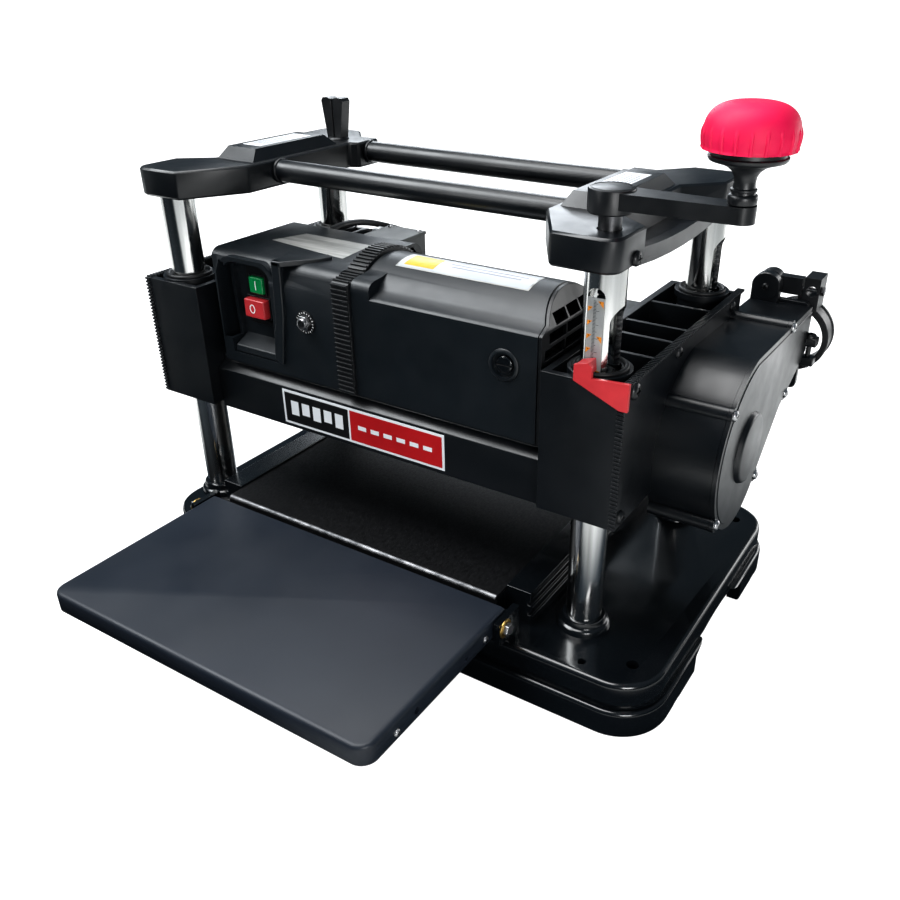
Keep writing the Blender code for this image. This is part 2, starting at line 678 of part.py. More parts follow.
def motor_rotor():
    """Shaft with belt pulley, armature, commutator and cooling fan on one axis."""
    profile = [(-214, 5), (-211, 11), (-197, 11), (-194, 5), (10, 5), (12, 27), (92, 27), (94, 14), (114, 14),
               (116, 5), (134, 5), (136, 42), (148, 42), (150, 5), (163, 5)]
    rotor = turned(profile, "x", (MOTOR_Y, MOTOR_Z), 16)
    return finish(rotor, "motor_rotor", "copper", (0, MOTOR_Y, MOTOR_Z))


# ---- cutterhead, feed and fan ---------------------------------------------------------------------

def cutterhead():
    profile = [(-214, 6), (-211, 14), (-197, 14), (-194, 6), (-168, 6), (-166, 14), (-165, CUTTER_R - 1),
               (-164, CUTTER_R), (164, CUTTER_R), (165, CUTTER_R - 1), (166, 14), (168, 6), (287, 6)]
    return finish(turned(profile, "x", (CUTTER_Y, CUTTER_Z), 20), "cutterhead", "steel",
                  (0, CUTTER_Y, CUTTER_Z))


def feed_roller(name, y):
    profile = [(-228, 4.5), (-226, 7), (-218, 7), (-216, 4.5), (-170, 4.5), (-168, ROLLER_R),
               (168, ROLLER_R), (170, 4.5), (183, 4.5)]
    return finish(turned(profile, "x", (y, ROLLER_Z), 16), name + "_roller", "rubber", (0, y, ROLLER_Z))


def belt_outline(wheels, grow):
    """A loop round two wheels in the YZ plane, given as (centre, radius)."""
    (a, ra), (b, rb) = wheels
    ra, rb = ra + grow, rb + grow
    line = Vector(b) - Vector(a)
    heading = math.degrees(math.atan2(line.y, line.x))
    lean = math.degrees(math.acos((ra - rb) / line.length))
    far = arc(b, rb, heading - lean, heading + lean, 8)
    return far + arc(a, ra, heading + lean, heading + 360 - lean, 12)


def drive_belt():
    wheels = (((CUTTER_Y, CUTTER_Z), 14), ((MOTOR_Y, MOTOR_Z), 11))
    belt = prism(belt_outline(wheels, 3), "x", -210, -198)
    belt = cut(belt, prism(belt_outline(wheels, 0.6), "x", -220, -190))
    return finish(belt, "drive_belt", "rubber")


def feed_chain():
    wheels = (((ROLLER_Y[1], ROLLER_Z), 7), ((ROLLER_Y[0], ROLLER_Z), 7))
    chain = prism(belt_outline(wheels, 2.4), "x", -225, -219)
    chain = cut(chain, prism(belt_outline(wheels, 0.5), "x", -230, -210))
    return finish(chain, "feed_chain", "steel")


def scroll_outline(grow):
    """The fan housing's scroll with its duct to the rear, as (y, z)."""
    points = []
    for i in range(17):
        turn = i / 16
        radius = 57 + 27 * turn ** 1.3 + grow
        angle = math.radians(-45 - 225 * turn)
        points.append((CUTTER_Y + radius * math.cos(angle), CUTTER_Z + radius * math.sin(angle)))
    end = DUCT_END_Y if grow == 0 else DUCT_END_Y + 5
    return points + [(end, DUCT_Z[1] + grow), (end, DUCT_Z[0] - grow), (103, 190 - grow)]


def fan_housing():
    body = prism(scroll_outline(0), "x", *FAN_X)
    for post in SCREW_POSTS:
        body = join(body, rod("x", post, 6, FAN_X[0], FAN_X[1], 14))
    body = cut(body, prism(scroll_outline(-FAN_WALL), "x", FAN_X[0] + FAN_WALL, FAN_X[1] + 10))
    body = cut(body, rod("x", (CUTTER_Y, CUTTER_Z), 9, FAN_X[0] - 5, FAN_X[0] + 10, 16))
    x, z = CLAMP_PIVOT
    eye = join(prism(circle(CLAMP_PIVOT, 13, 20), "y", DUCT_END_Y - 6, DUCT_END_Y + 4),
               box((x - 12, x + 12), (DUCT_END_Y - 6, DUCT_END_Y + 4), (DUCT_Z[1] - 2, z)),
               rod("y", CLAMP_PIVOT, 3.5, DUCT_END_Y, DUCT_END_Y + 20, 14))
    return finish(join(body, eye), "fan_housing", "gloss_black")


def fan_cover():
    x = FAN_X[1] + GAP
    plate = prism(scroll_outline(0), "x", x, x + 3.5)
    for post in SCREW_POSTS:
        plate = join(plate, rod("x", post, 6, x, x + 3.5, 14))
    dome = turned([(x + 2, 30), (x + 4, 29), (x + 8, 24)], "x", (CUTTER_Y, CUTTER_Z + 6), 24)
    plate = join(plate, dome)
    return finish(plate, "fan_cover", "gloss_black")


def fan_impeller():
    """A backplate with six straight blades on the cutterhead's shaft."""
    centre = (CUTTER_Y, CUTTER_Z)
    body = rod("x", centre, 47, 250, 253, 24)
    body = join(body, rod("x", centre, 12, 250, 284, 20))
    for i in range(6):
        blade = box((251, 280), (8, 46), (-1.5, 1.5))
        spin = Matrix.Rotation(math.radians(60 * i), 4, "X")
        blade.data.transform(Matrix.Translation((0, *centre)) @ spin)
        body = join(body, blade)
    body = cut(body, rod("x", centre, 6 + GAP, 240, 300, 28))
    return finish(body, "fan_impeller", "steel", (250, *centre))


# ---- pointer, hose clamp, cord --------------------------------------------------------------------

def height_pointer():
    """The red pointer: a tongue at the scale and a strap across the box's front to its corner."""
    front = BOX_Y[0] - GAP
    outline = [(205, 281), (205, 293), (216, 296), (219, 293), (219, 285), (247.5, 287), (247.5, 266),
               (241, 266)]
    tip = [(206, 287), (217, 287), (216, 296), (206, 293)]
    strap = prism(outline, "y", front - 3, front)
    tongue = prism(tip, "y", front - 3, -COLUMN_Y - COLUMN_R - 0.8)
    return finish(join(strap, tongue), "height_pointer", "red_plastic")


def hose_clamp():
    """A band for the dust hose, on an arm that swings about the pin on the fan's duct."""
    x, z = CLAMP_PIVOT
    y0, y1 = RING_Y
    arm = prism(circle(CLAMP_PIVOT, 12, 20), "y", y0, y0 + 12)
    arm = join(arm, box((x, 286), (y0 + 1, y0 + 11), (z - 8, z + 7)))
    lug = box((284, 299), (y0, y1), (250, 285))
    ring = join(rod("y", RING_CENTRE, 32, y0, y1, 24), lug, arm)
    ring = cut(ring, rod("y", RING_CENTRE, 27.5, y0 - 5, y1 + 5, 24))
    ring = cut(ring, rod("y", CLAMP_PIVOT, 4.0, y0 - 5, y0 + 30, 16))
    return finish(ring, "hose_clamp", "satin_black", (x, y0, z))


def cord_plug():
    """A three-pin plug lying on the hood, its relief pointing to the hank's front fold."""
    y, z = 21.5, HOOD_TOP + 13.5
    body = turned([(-116, 4), (-68, 6), (-66, 6)], "x", (y, z), 12)
    grip = [(-68, y - 9.5), (-62, y - 12.5), (-40, y - 12.5), (-34, y - 11), (-34, y + 11), (-40, y + 12.5),
            (-62, y + 12.5), (-68, y + 9.5)]
    body = join(body, prism(grip, "z", z - 13, z + 11))
    for blade_y in ((y - 7.1, y - 5.6), (y + 5.6, y + 7.1)):
        body = join(body, box((-36, -17), blade_y, (z - 3.2, z + 3.2)))
    body = join(body, rod("x", (y, z - 9), 2.4, -36, -15, 12))
    return finish(body, "cord_plug", "rubber")


def smooth_route(stations, step):
    """A smooth curve through the stations, sampled about every step."""
    knots = [Vector(s) for s in stations]
    padded = [2 * knots[0] - knots[1]] + knots + [2 * knots[-1] - knots[-2]]
    route = []
    for a, b, c, d in zip(padded, padded[1:], padded[2:], padded[3:]):
        count = max(2, round((c - b).length / step))
        for i in range(count):
            t = i / count
            route.append(0.5 * (2 * b + (c - a) * t + (2 * a - 5 * b + 4 * c - d) * t ** 2
                                + (3 * b - a - 3 * c + d) * t ** 3))
    return route + [knots[-1]]


def hank_outline(reach):
    """A long loop with round ends at the given distance from the line through the hank's folds."""
    return arc((HANK_X, HANK_Y[1]), reach, 0, 180, 10) + arc((HANK_X, HANK_Y[0]), reach, 180, 360, 10)


def cord_hank():
    low = HOOD_TOP + GAP
    high = low + CORD_D * HANK_LAYERS
    ring = prism(hank_outline(HANK_FOLD_R + CORD_D / 2), "z", low, high)
    hollow = hank_outline(HANK_FOLD_R - CORD_D * (HANK_COLUMNS - 0.5))
    ring = cut(ring, prism(hollow, "z", low - 5, high + 5))
    return finish(ring, "cord_hank", "rubber")


def cord_gland():
    wall = TERMINAL_Y[1]
    profile = [(wall - 10, 6), (wall + 0.4, 6), (wall + 0.4, 8.5), (wall + 4, 8.5), (wall + 5, 6.5)]
    profile += [(GLAND_TIP, 4.4)]
    return finish(turned(profile, "y", (GLAND_X, GLAND_Z), 16), "cord_gland", "rubber")


def cord_tube():
    data = bpy.data.curves.new("cord_tube", "CURVE")
    data.dimensions = "3D"
    data.bevel_depth = CORD_D / 2 * MM
    data.bevel_resolution = 2
    data.use_fill_caps = True
    route = smooth_route(CORD_STATIONS, 2.2 * CORD_D)
    line = data.splines.new("POLY")
    line.points.add(len(route) - 1)
    for point, place in zip(line.points, route):
        point.co = (*(place * MM), 1)
    data.materials.append(material("rubber"))
    item = bpy.data.objects.new("cord_tube", data)
    bpy.context.collection.objects.link(item)
    return item


def build():
    clear_scene()
    base_casting()
    base_cover()
    lift_chain()
    bed_casting()
    hinge_ears()
    bed_sheet()
    for name, side_y, inner in TABLES:
        folding_table(name, side_y, inner)
        hinge_rod(name, side_y, inner)
    for name, (sx, sy) in CORNERS.items():
        column(name, sx, sy)
        lead_screw(name, sx, sy)
        lift_nut(name, sx, sy)
    thickness_scale()
    bracket("left", -1)
    bracket("right", 1)
    top_bar("front", BAR_Y[0], BRACKET_IN)
    top_bar("rear", BAR_Y[1], BAR_BOSS_IN)
    crank_arm()
    crank_knob()
    lock_lever()
    end_box("left", -1)
    end_box("right", 1)
    front_beam()
    dust_hood()
    terminal_box()
    switch_housing()
    push_buttons()
    motor_shell("motor_band", BAND_X, 4.0, 7.0, "satin_black")
    motor_shell("motor_cover", COVER_X, 0.0, 3.0, "motor_grey")
    vent_grille()
    motor_stator()
    motor_rotor()
    cutterhead()
    feed_roller("infeed", ROLLER_Y[0])
    feed_roller("outfeed", ROLLER_Y[1])
    drive_belt()
    feed_chain()
    fan_housing()
    fan_cover()
    fan_impeller()
    height_pointer()
    hose_clamp()
    cord_gland()
    cord_tube()
    cord_hank()
    cord_plug()


build()
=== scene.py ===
"""Looks of the thickness planer: finer surfaces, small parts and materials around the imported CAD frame.

Lengths in the builders are millimetres. Places come from the CAD nodes' boxes, or from the constants below where
a box doesn't give them.
"""

import json
import math

import bmesh
import bpy
from mathutils import Matrix, Vector


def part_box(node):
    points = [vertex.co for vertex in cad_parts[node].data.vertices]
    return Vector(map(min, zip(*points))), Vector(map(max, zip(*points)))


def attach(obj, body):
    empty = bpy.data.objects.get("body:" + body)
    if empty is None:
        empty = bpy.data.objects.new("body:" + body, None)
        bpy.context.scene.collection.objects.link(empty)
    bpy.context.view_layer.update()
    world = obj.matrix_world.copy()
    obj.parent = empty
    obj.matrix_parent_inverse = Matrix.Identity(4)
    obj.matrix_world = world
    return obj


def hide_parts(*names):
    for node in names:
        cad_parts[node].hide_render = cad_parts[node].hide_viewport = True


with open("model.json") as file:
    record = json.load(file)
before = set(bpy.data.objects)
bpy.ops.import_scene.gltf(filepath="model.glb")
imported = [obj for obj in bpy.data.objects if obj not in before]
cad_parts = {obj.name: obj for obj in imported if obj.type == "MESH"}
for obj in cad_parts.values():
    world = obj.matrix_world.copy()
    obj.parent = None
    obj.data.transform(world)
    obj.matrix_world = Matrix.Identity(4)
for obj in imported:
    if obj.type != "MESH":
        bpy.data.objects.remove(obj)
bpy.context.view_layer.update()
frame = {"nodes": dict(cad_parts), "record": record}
NODES = frame["nodes"]
BODY = {node: body for body, nodes in frame["record"]["behaviour"]["bodies"].items() for node in nodes}
SLOT = {row["node"]: row["material_slot"] for row in frame["record"]["subparts"]}
MM = 0.001
SIDES = {"left": -1, "right": 1}
TABLES = {"infeed": -1, "outfeed": 1}
CORNERS = ("front_left", "front_right", "rear_left", "rear_right")

TABLE_PIVOT = (13, 72.5)            # out from the table's inner edge, and up
HINGE_END = 174.6                   # where a hinge's washers sit, out from the middle
GUIDE_BEADS = (57.5, 67.5, 76.5)    # heights of the beads along the bed's side guides
BRACKET_MIDDLE, BRACKET_FACE = 176, 231
NUT_SLOT = (22.5, 190, 331)         # width, foot and top of the slot in every column's outward side
SCALE_SLOT = (13, 205, 345)         # the same, in front of the thickness scale
INCH = 25.4
THREAD = (31.5, 350.0)
THREAD_PITCH = 4                    # coarser than the real 2 mm, for the turns to show
KNOB_RADIUS, KNOB_RIBS = 28.0, 20
TEETH_PITCH = 3.3
MOTOR_RADIUS = 54
COVER_CORNER, BAND_CORNER = 302.0, 311.0    # heights where the motor's flat front meets its arch
FAN_END, FAN_END_LEAN = 150, 0.5    # where the fan end starts, and how far it falls back per millimetre of height
BRUSH = (139.5, 272.5)
BAND_PROUD, RIB_PITCH = 2.8, 4.25
HOUSING_FRONT, HOUSING_CORNER = -118.0, 296
RECESS_BACK, RECESS_HEIGHTS = -100, (222, 308)
BUTTONS = ("start_button", "stop_button")
DUCT_END = 170.0
DUCT_OPENING = (219, 259)
LID_POSTS = ((-42, 239), (-50, 146), (52, 143), (104, 263), (116, 197))
CLAMP_PIVOT, CLAMP_CENTRE = (253, 276), (281.5, 228)

CORD_THICKNESS = 7.0
# placed one by one: out of the gland, round behind the hank, up over its left side, down into the inner column
CORD_LOOP = [(-117, 118.5, 270), (-117.5, 126, 270.2), (-120.5, 134.5, 270.8), (-127, 141.5, 272),
             (-136, 145.5, 273.8), (-146, 145.5, 276.2), (-155.5, 141, 279.2), (-163, 132.5, 283),
             (-168.5, 120, 287.5), (-171.5, 105, 291.5), (-172.5, 88, 294.3), (-172.5, 70, 295.5),
             (-172, 54, 294.6), (-169.5, 41, 292.6), (-165, 30.5, 289.8), (-158.5, 25.6, 286.2)]

# nodes whose own shape is right, with the size of their rounded edges
ROUNDED_ONLY = {"dust_hood": 1.2, "cutterhead": 0.3, "infeed_roller": 0.3, "outfeed_roller": 0.3,
                "fan_impeller": 0.2, "cord_gland": 0.3, "cord_plug": 0.9}


def span(node):
    """A node's x, y and z ranges in millimetres."""
    low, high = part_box(node)
    return [(low[i] / MM, high[i] / MM) for i in range(3)]


def middle(node):
    return [sum(pair) / 2 for pair in span(node)]


# ---- materials ------------------------------------------------------------------------------------

def shader_of(name):
    made = bpy.data.materials.new(name)
    made.use_nodes = True
    tree = made.node_tree
    return made, tree, tree.nodes["Principled BSDF"]


def fill(shader, **values):
    """Sets a shader node's inputs. An underscore stands for a space in an input's name."""
    for name, value in values.items():
        shader.inputs[name.replace("_", " ")].default_value = value
    return shader


def added(tree, kind, **values):
    return fill(tree.nodes.new("ShaderNode" + kind), **values)


def noise(tree, scale, detail=3.0, stretch=(1, 1, 1)):
    """Noise in the object's own coordinates, per metre."""
    place = added(tree, "TexCoord")
    warp = added(tree, "Mapping", Scale=stretch)
    made = added(tree, "TexNoise", Scale=scale, Detail=detail)
    tree.links.new(place.outputs["Object"], warp.inputs["Vector"])
    tree.links.new(warp.outputs["Vector"], made.inputs["Vector"])
    return made.outputs["Fac"]


def ramp(tree, source, stops):
    """A color ramp over (position, color) stops."""
    made = added(tree, "ValToRGB")
    marks = made.color_ramp.elements
    while len(marks) < len(stops):
        marks.new(0.5)
    for mark, (position, color) in zip(marks, stops):
        mark.position = position
        mark.color = (*color, 1)
    tree.links.new(source, made.inputs["Fac"])
    return made.outputs["Color"]


def ranged(tree, source, low, high):
    """The source's middle range spread from low to high."""
    made = added(tree, "MapRange", From_Min=0.3, From_Max=0.7, To_Min=low, To_Max=high)
    tree.links.new(source, made.inputs["Value"])
    return made.outputs["Result"]


def bump(tree, shader, source, strength, depth):
    made = added(tree, "Bump", Strength=strength, Distance=depth)
    tree.links.new(source, made.inputs["Height"])
    tree.links.new(made.outputs["Normal"], shader.inputs["Normal"])


def surface(name, dark, light, rough, metal=0.0, grain=900.0, relief=(0.1, 0.0002), stretch=(1, 1, 1),
            coat=0.0, patches=25.0, specular=0.5):
    """A finish with uneven color and gloss in patches and a fine grain in its relief."""
    made, tree, shader = shader_of(name)
    cloud = noise(tree, patches, 4.0, stretch)
    tree.links.new(ramp(tree, cloud, [(0.3, dark), (0.7, light)]), shader.inputs["Base Color"])
    tree.links.new(ranged(tree, noise(tree, patches * 2.3, 5.0, stretch), *rough), shader.inputs["Roughness"])
    fill(shader, Metallic=metal, Coat_Weight=coat, Coat_Roughness=0.08, Specular_IOR_Level=specular)
    bump(tree, shader, noise(tree, grain, 2.0, stretch), *relief)
    return made


# each finish: its dark and its light tone, its range of roughness, and what differs from a plain finish
FINISHES = {
    "gloss_black": ((0.0018, 0.0026, 0.0036), (0.004, 0.0055, 0.007), (0.16, 0.27),
        dict(grain=260.0, relief=(0.05, 0.0002), coat=0.3, patches=12.0)),
    "cast_black": ((0.002, 0.003, 0.0042), (0.0045, 0.006, 0.008), (0.3, 0.42),
        dict(grain=420.0, coat=0.06, patches=14.0)),
    "satin_black": ((0.003, 0.0036, 0.0045), (0.007, 0.008, 0.0095), (0.34, 0.46),
        dict(grain=2200.0, relief=(0.15, 0.00012), patches=30.0)),
    "motor_grey": ((0.0035, 0.0058, 0.008), (0.006, 0.009, 0.012), (0.36, 0.46),
        dict(grain=2600.0, relief=(0.2, 0.00014), patches=18.0)),
    "terminal_grey": ((0.06, 0.065, 0.065), (0.085, 0.09, 0.09), (0.5, 0.62),
        dict(grain=1800.0, relief=(0.12, 0.00015), patches=20.0)),
    "chrome_steel": ((0.42, 0.42, 0.41), (0.82, 0.82, 0.81), (0.1, 0.2),
        dict(metal=1.0, grain=700.0, relief=(0.04, 0.0001), stretch=(1, 1, 0.03), patches=120.0)),
    "bright_steel": ((0.32, 0.32, 0.33), (0.5, 0.5, 0.5), (0.22, 0.4),
        dict(metal=1.0, grain=1200.0, relief=(0.15, 0.0001), patches=60.0)),
    "bed_steel": ((0.0006, 0.0007, 0.001), (0.006, 0.0062, 0.007), (0.4, 0.62),
        dict(grain=1500.0, relief=(0.35, 0.0003), stretch=(1, 0.35, 1), patches=420.0, specular=0.22)),
    "dark_steel": ((0.05, 0.052, 0.055), (0.16, 0.16, 0.165), (0.3, 0.5),
        dict(metal=1.0, grain=1200.0, relief=(0.2, 0.0002), patches=90.0)),
    "table_paint": ((0.009, 0.0125, 0.019), (0.013, 0.0175, 0.026), (0.4, 0.5),
        dict(grain=1400.0, relief=(0.06, 0.0002), patches=9.0, specular=0.38)),
    "red_knob": ((0.62, 0.006, 0.06), (0.7, 0.008, 0.075), (0.5, 0.62),
        dict(grain=1800.0, relief=(0.12, 0.0002), patches=30.0, specular=0.3)),
    "red_plastic": ((0.42, 0.03, 0.036), (0.52, 0.038, 0.045), (0.28, 0.4),
        dict(relief=(0.06, 0.0001), patches=60.0)),
    "green_plastic": ((0.0, 0.2, 0.055), (0.004, 0.28, 0.085), (0.25, 0.35),
        dict(relief=(0.06, 0.0001), patches=60.0)),
    "scale_silver": ((0.42, 0.43, 0.43), (0.55, 0.56, 0.55), (0.35, 0.5),
        dict(metal=0.6, grain=600.0, relief=(0.06, 0.0001), patches=90.0)),
    "black_rubber": ((0.003, 0.0034, 0.004), (0.008, 0.0085, 0.009), (0.42, 0.6),
        dict(grain=1500.0, relief=(0.2, 0.0002), patches=40.0)),
    "copper": ((0.3, 0.1, 0.04), (0.5, 0.2, 0.08), (0.3, 0.5),
        dict(metal=1.0, grain=1500.0, relief=(0.4, 0.0004), stretch=(0.1, 1, 1), patches=200.0)),
    "brass": ((0.5, 0.33, 0.1), (0.66, 0.45, 0.16), (0.25, 0.4), dict(metal=1.0, patches=80.0)),
    "label_white": ((0.66, 0.68, 0.7), (0.72, 0.74, 0.76), (0.3, 0.42), dict(patches=40.0)),
    # a darker copy of label_white for the label on the motor's arch: painted shade on a white label
    "label_white_shaded": ((0.36, 0.385, 0.42), (0.42, 0.445, 0.48), (0.3, 0.42), dict(patches=40.0)),
    "label_silver": ((0.26, 0.26, 0.25), (0.52, 0.52, 0.5), (0.3, 0.5),
        dict(metal=0.5, stretch=(0.08, 1, 1), patches=180.0)),
    "label_red": ((0.36, 0.006, 0.009), (0.42, 0.009, 0.012), (0.28, 0.38), dict(patches=40.0)),
    "label_yellow": ((0.42, 0.3, 0.008), (0.48, 0.35, 0.012), (0.3, 0.4), dict(patches=40.0)),
    "ink": ((0.0015, 0.0015, 0.002), (0.003, 0.003, 0.0035), (0.35, 0.5), dict(patches=60.0)),
    "grey_print": ((0.2, 0.21, 0.24), (0.26, 0.27, 0.3), (0.35, 0.5), dict(patches=60.0)),
    "orange": ((0.6, 0.2, 0.015), (0.72, 0.26, 0.02), (0.4, 0.5), dict(patches=60.0)),
    "print_white": ((0.75, 0.76, 0.76), (0.8, 0.8, 0.8), (0.35, 0.45), dict(patches=60.0)),
}
FINISH = {name: surface(name, dark, light, rough, **rest) for name, (dark, light, rough, rest) in FINISHES.items()}


# ---- mesh building --------------------------------------------------------------------------------

def placed(name, data):
    item = bpy.data.objects.new(name, data)
    bpy.context.scene.collection.objects.link(item)
    return item


def solid(bm):
    bmesh.ops.recalc_face_normals(bm, faces=bm.faces)
    mesh = bpy.data.meshes.new("solid")
    bm.to_mesh(mesh)
    bm.free()
    return placed("solid", mesh)


def axis_frame(axis):
    """Turns a shape drawn in XY and raised along Z to (y, z) along x, (x, z) along y or (x, y) along z."""
    columns = {"x": ((0, 1, 0), (0, 0, 1), (1, 0, 0)),
               "y": ((1, 0, 0), (0, 0, 1), (0, 1, 0)),
               "z": ((1, 0, 0), (0, 1, 0), (0, 0, 1))}[axis]
    return Matrix(columns).transposed()


def loft(rings):
    """A skin through rings of points with equal counts, capped at both ends."""
    bm = bmesh.new()
    rows = [[bm.verts.new(p) for p in ring] for ring in rings]
    bm.faces.new(rows[0])
    bm.faces.new(rows[-1])
    count = len(rings[0])
    for near, far in zip(rows, rows[1:]):
        for i in range(count):
            j = (i + 1) % count
            bm.faces.new((near[i], near[j], far[j], far[i]))
    return solid(bm)


def prism(points, axis, low, high):
    turn = axis_frame(axis)
    return loft([[turn @ Vector((p[0], p[1], level)) for p in points] for level in (low, high)])


def rectangle(x, y):
    return [(x[0], y[0]), (x[1], y[0]), (x[1], y[1]), (x[0], y[1])]


def box(x, y, z):
    return prism(rectangle(x, y), "z", *z)


def between(a, b):
    """A range from its two ends in either order."""
    return (min(a, b), max(a, b))


def around(centre, half):
    return (centre - half, centre + half)


def grown(pair, amount):
    return (pair[0] - amount, pair[1] + amount)


def circle(centre, radius, count=48):
    step = 2 * math.pi / count
    return [(centre[0] + radius * math.cos(i * step), centre[1] + radius * math.sin(i * step))
            for i in range(count)]


def arc(centre, radius, first, last, count):
    angles = [math.radians(first + (last - first) * i / count) for i in range(count + 1)]
    return [(centre[0] + radius * math.cos(a), centre[1] + radius * math.sin(a)) for a in angles]


def rod(axis, centre, radius, low, high, count=48):
    return prism(circle(centre, radius, count), axis, low, high)


def raised(level, profile):
    """A profile of (height, radius) pairs, moved up to a level."""
    return [(level + height, radius) for height, radius in profile]


def broken(low, high, radius, edge):
    """The profile of a short cylinder with both its rims broken."""
    return [(low, radius - edge), (low + edge, radius), (high - edge, radius), (high, radius - edge)]


def turned(profile, axis, centre, count=64):
    """A solid of revolution from (distance along the axis, radius) pairs."""
    turn = axis_frame(axis)
    return loft([[turn @ Vector((p[0], p[1], along)) for p in circle(centre, radius, count)]
                 for along, radius in profile])


def rounded(x, y, radius, count=12):
    points = []
    for cx, cy, first in ((x[1], y[1], 0), (x[0], y[1], 90), (x[0], y[0], 180), (x[1], y[0], 270)):
        inner = (cx - math.copysign(radius, cx - sum(x) / 2), cy - math.copysign(radius, cy - sum(y) / 2))
        points += arc(inner, radius, first, first + 90, count)
    return points


def tiers(x, y, radius, profile, count=12):
    """A rounded block whose wall follows (height, inset) pairs."""
    rings = []
    for z, inset in profile:
        outline = rounded(grown(x, -inset), grown(y, -inset), max(radius - inset, 0.3), count)
        rings.append([Vector((p[0], p[1], z)) for p in outline])
    return loft(rings)


def apply_modifiers(item):
    bpy.context.view_layer.update()
    graph = bpy.context.evaluated_depsgraph_get()
    item.data = bpy.data.meshes.new_from_object(item.evaluated_get(graph))
    item.modifiers.clear()
    return item


def combine(target, others, operation):
    for other in others:
        step = target.modifiers.new("step", "BOOLEAN")
        step.operation = operation
        step.solver = "EXACT"
        step.object = other
        apply_modifiers(target)
        bpy.data.objects.remove(other, do_unlink=True)
    return target


def join(target, *others):
    return combine(target, others, "UNION")


def cut(target, *others):
    return combine(target, others, "DIFFERENCE")


def group(items):
    """Several separate solids as one mesh."""
    bm = bmesh.new()
    for item in items:
        bm.from_mesh(item.data)
        bpy.data.objects.remove(item, do_unlink=True)
    return solid(bm)


def show(item, name, node, finish=None, edge=0.0, segments=3, smooth=40, instead=False):
    """Scales a solid to metres, rounds its edges, and lets it ride with a node, or stand in its place."""
    mesh = item.data
    mesh.transform(Matrix.Scale(MM, 4))
    mesh.name = name
    item.name = name
    mesh.materials.clear()
    mesh.materials.append(FINISH[finish or SLOT[node]])
    if edge:
        step = item.modifiers.new("edge", "BEVEL")
        step.width = edge * MM
        step.segments = segments
        step.limit_method = "ANGLE"
        step.angle_limit = math.radians(32)
        step.harden_normals = True
    mesh.shade_smooth()
    mesh.set_sharp_from_angle(angle=math.radians(smooth))
    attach(item, BODY[node])
    if instead:
        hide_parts(node)
    return item


def refined(node, edge, finish=None, segments=3, smooth=40):
    """A node's own shape with its edges rounded."""
    bm = bmesh.new()
    bm.from_mesh(NODES[node].data)
    bmesh.ops.remove_doubles(bm, verts=bm.verts, dist=2e-6)
    bmesh.ops.dissolve_limit(bm, angle_limit=math.radians(1), verts=bm.verts, edges=bm.edges)
    bmesh.ops.scale(bm, vec=(1 / MM, 1 / MM, 1 / MM), verts=bm.verts)
    return show(solid(bm), node + "_shell", node, finish, edge, segments, smooth, instead=True)


# ---- camera, light, floor -------------------------------------------------------------------------

def camera():
    data = bpy.data.cameras.new("camera")
    data.lens = 35.8
    data.sensor_width = 36
    data.shift_x = -0.039
    data.shift_y = 0.016
    data.clip_end = 100
    item = placed("camera", data)
    item.location = (0.4584, -0.6554, 0.5346)
    item.rotation_euler = (math.radians(60.91), 0, math.radians(31.96))
    bpy.context.scene.camera = item


def area_light(name, place, aim, size, power, color=(1, 1, 1)):
    data = bpy.data.lights.new(name, "AREA")
    data.shape = "RECTANGLE"
    data.size, data.size_y = size
    data.energy = power
    data.color = color
    item = placed(name, data)
    item.location = place
    item.rotation_euler = (Vector(aim) - Vector(place)).to_track_quat("-Z", "Y").to_euler()


def studio():
    """A dark room for reflections, white behind the machine for the camera, and soft lights overhead."""
    world = bpy.data.worlds.new("studio")
    world.use_nodes = True
    tree = world.node_tree
    room = tree.nodes["Background"]
    way = added(tree, "TexCoord")
    split = added(tree, "SeparateXYZ")
    tree.links.new(way.outputs["Generated"], split.inputs["Vector"])
    sky = ramp(tree, split.outputs["Z"], [(0.0, (0.004, 0.009, 0.014)), (0.25, (0.03, 0.055, 0.075)),
                                          (0.8, (0.16, 0.19, 0.22))])
    tree.links.new(sky, room.inputs["Color"])
    fill(room, Strength=1.0)
    seen = added(tree, "Background", Color=(1, 1, 1, 1), Strength=1.05)
    ray = added(tree, "LightPath")
    mix = added(tree, "MixShader")
    tree.links.new(ray.outputs["Is Camera Ray"], mix.inputs["Fac"])
    tree.links.new(room.outputs["Background"], mix.inputs[1])
    tree.links.new(seen.outputs["Background"], mix.inputs[2])
    tree.links.new(mix.outputs["Shader"], tree.nodes["World Output"].inputs["Surface"])
    bpy.context.scene.world = world
    area_light("top", (-0.25, -0.1, 2.0), (0, -0.05, 0.2), (1.5, 0.8), 30)
    area_light("high_left", (-1.25, -0.7, 1.9), (0, -0.1, 0.3), (1.1, 1.1), 44, (0.95, 0.98, 1))
    area_light("rear_left", (-1.0, 1.55, 1.1), (0, 0, 0.2), (0.9, 0.7), 12, (0.9, 0.95, 1))
    area_light("rear_right", (1.0, 1.5, 0.45), (0.25, 0.1, 0.25), (0.9, 0.6), 7)
    area_light("low_right", (0.58, 0.4, 0.08), (0.29, 0.0, 0.08), (0.45, 0.04), 0.08)
    area_light("front_strip", (-0.9, -1.5, 1.2), (0, 0, 0.25), (0.18, 1.2), 7)
    area_light("knob_fill", (0.9, -0.85, 0.5), (0.3, -0.1, 0.44), (0.35, 0.35), 6)


def computed(tree, operation, *values):
    """A math node over sockets and numbers."""
    made = added(tree, "Math")
    made.operation = operation
    for socket, value in zip(made.inputs, values):
        if isinstance(value, bpy.types.NodeSocket):
            tree.links.new(value, socket)
        else:
            socket.default_value = value
    return made.outputs["Value"]


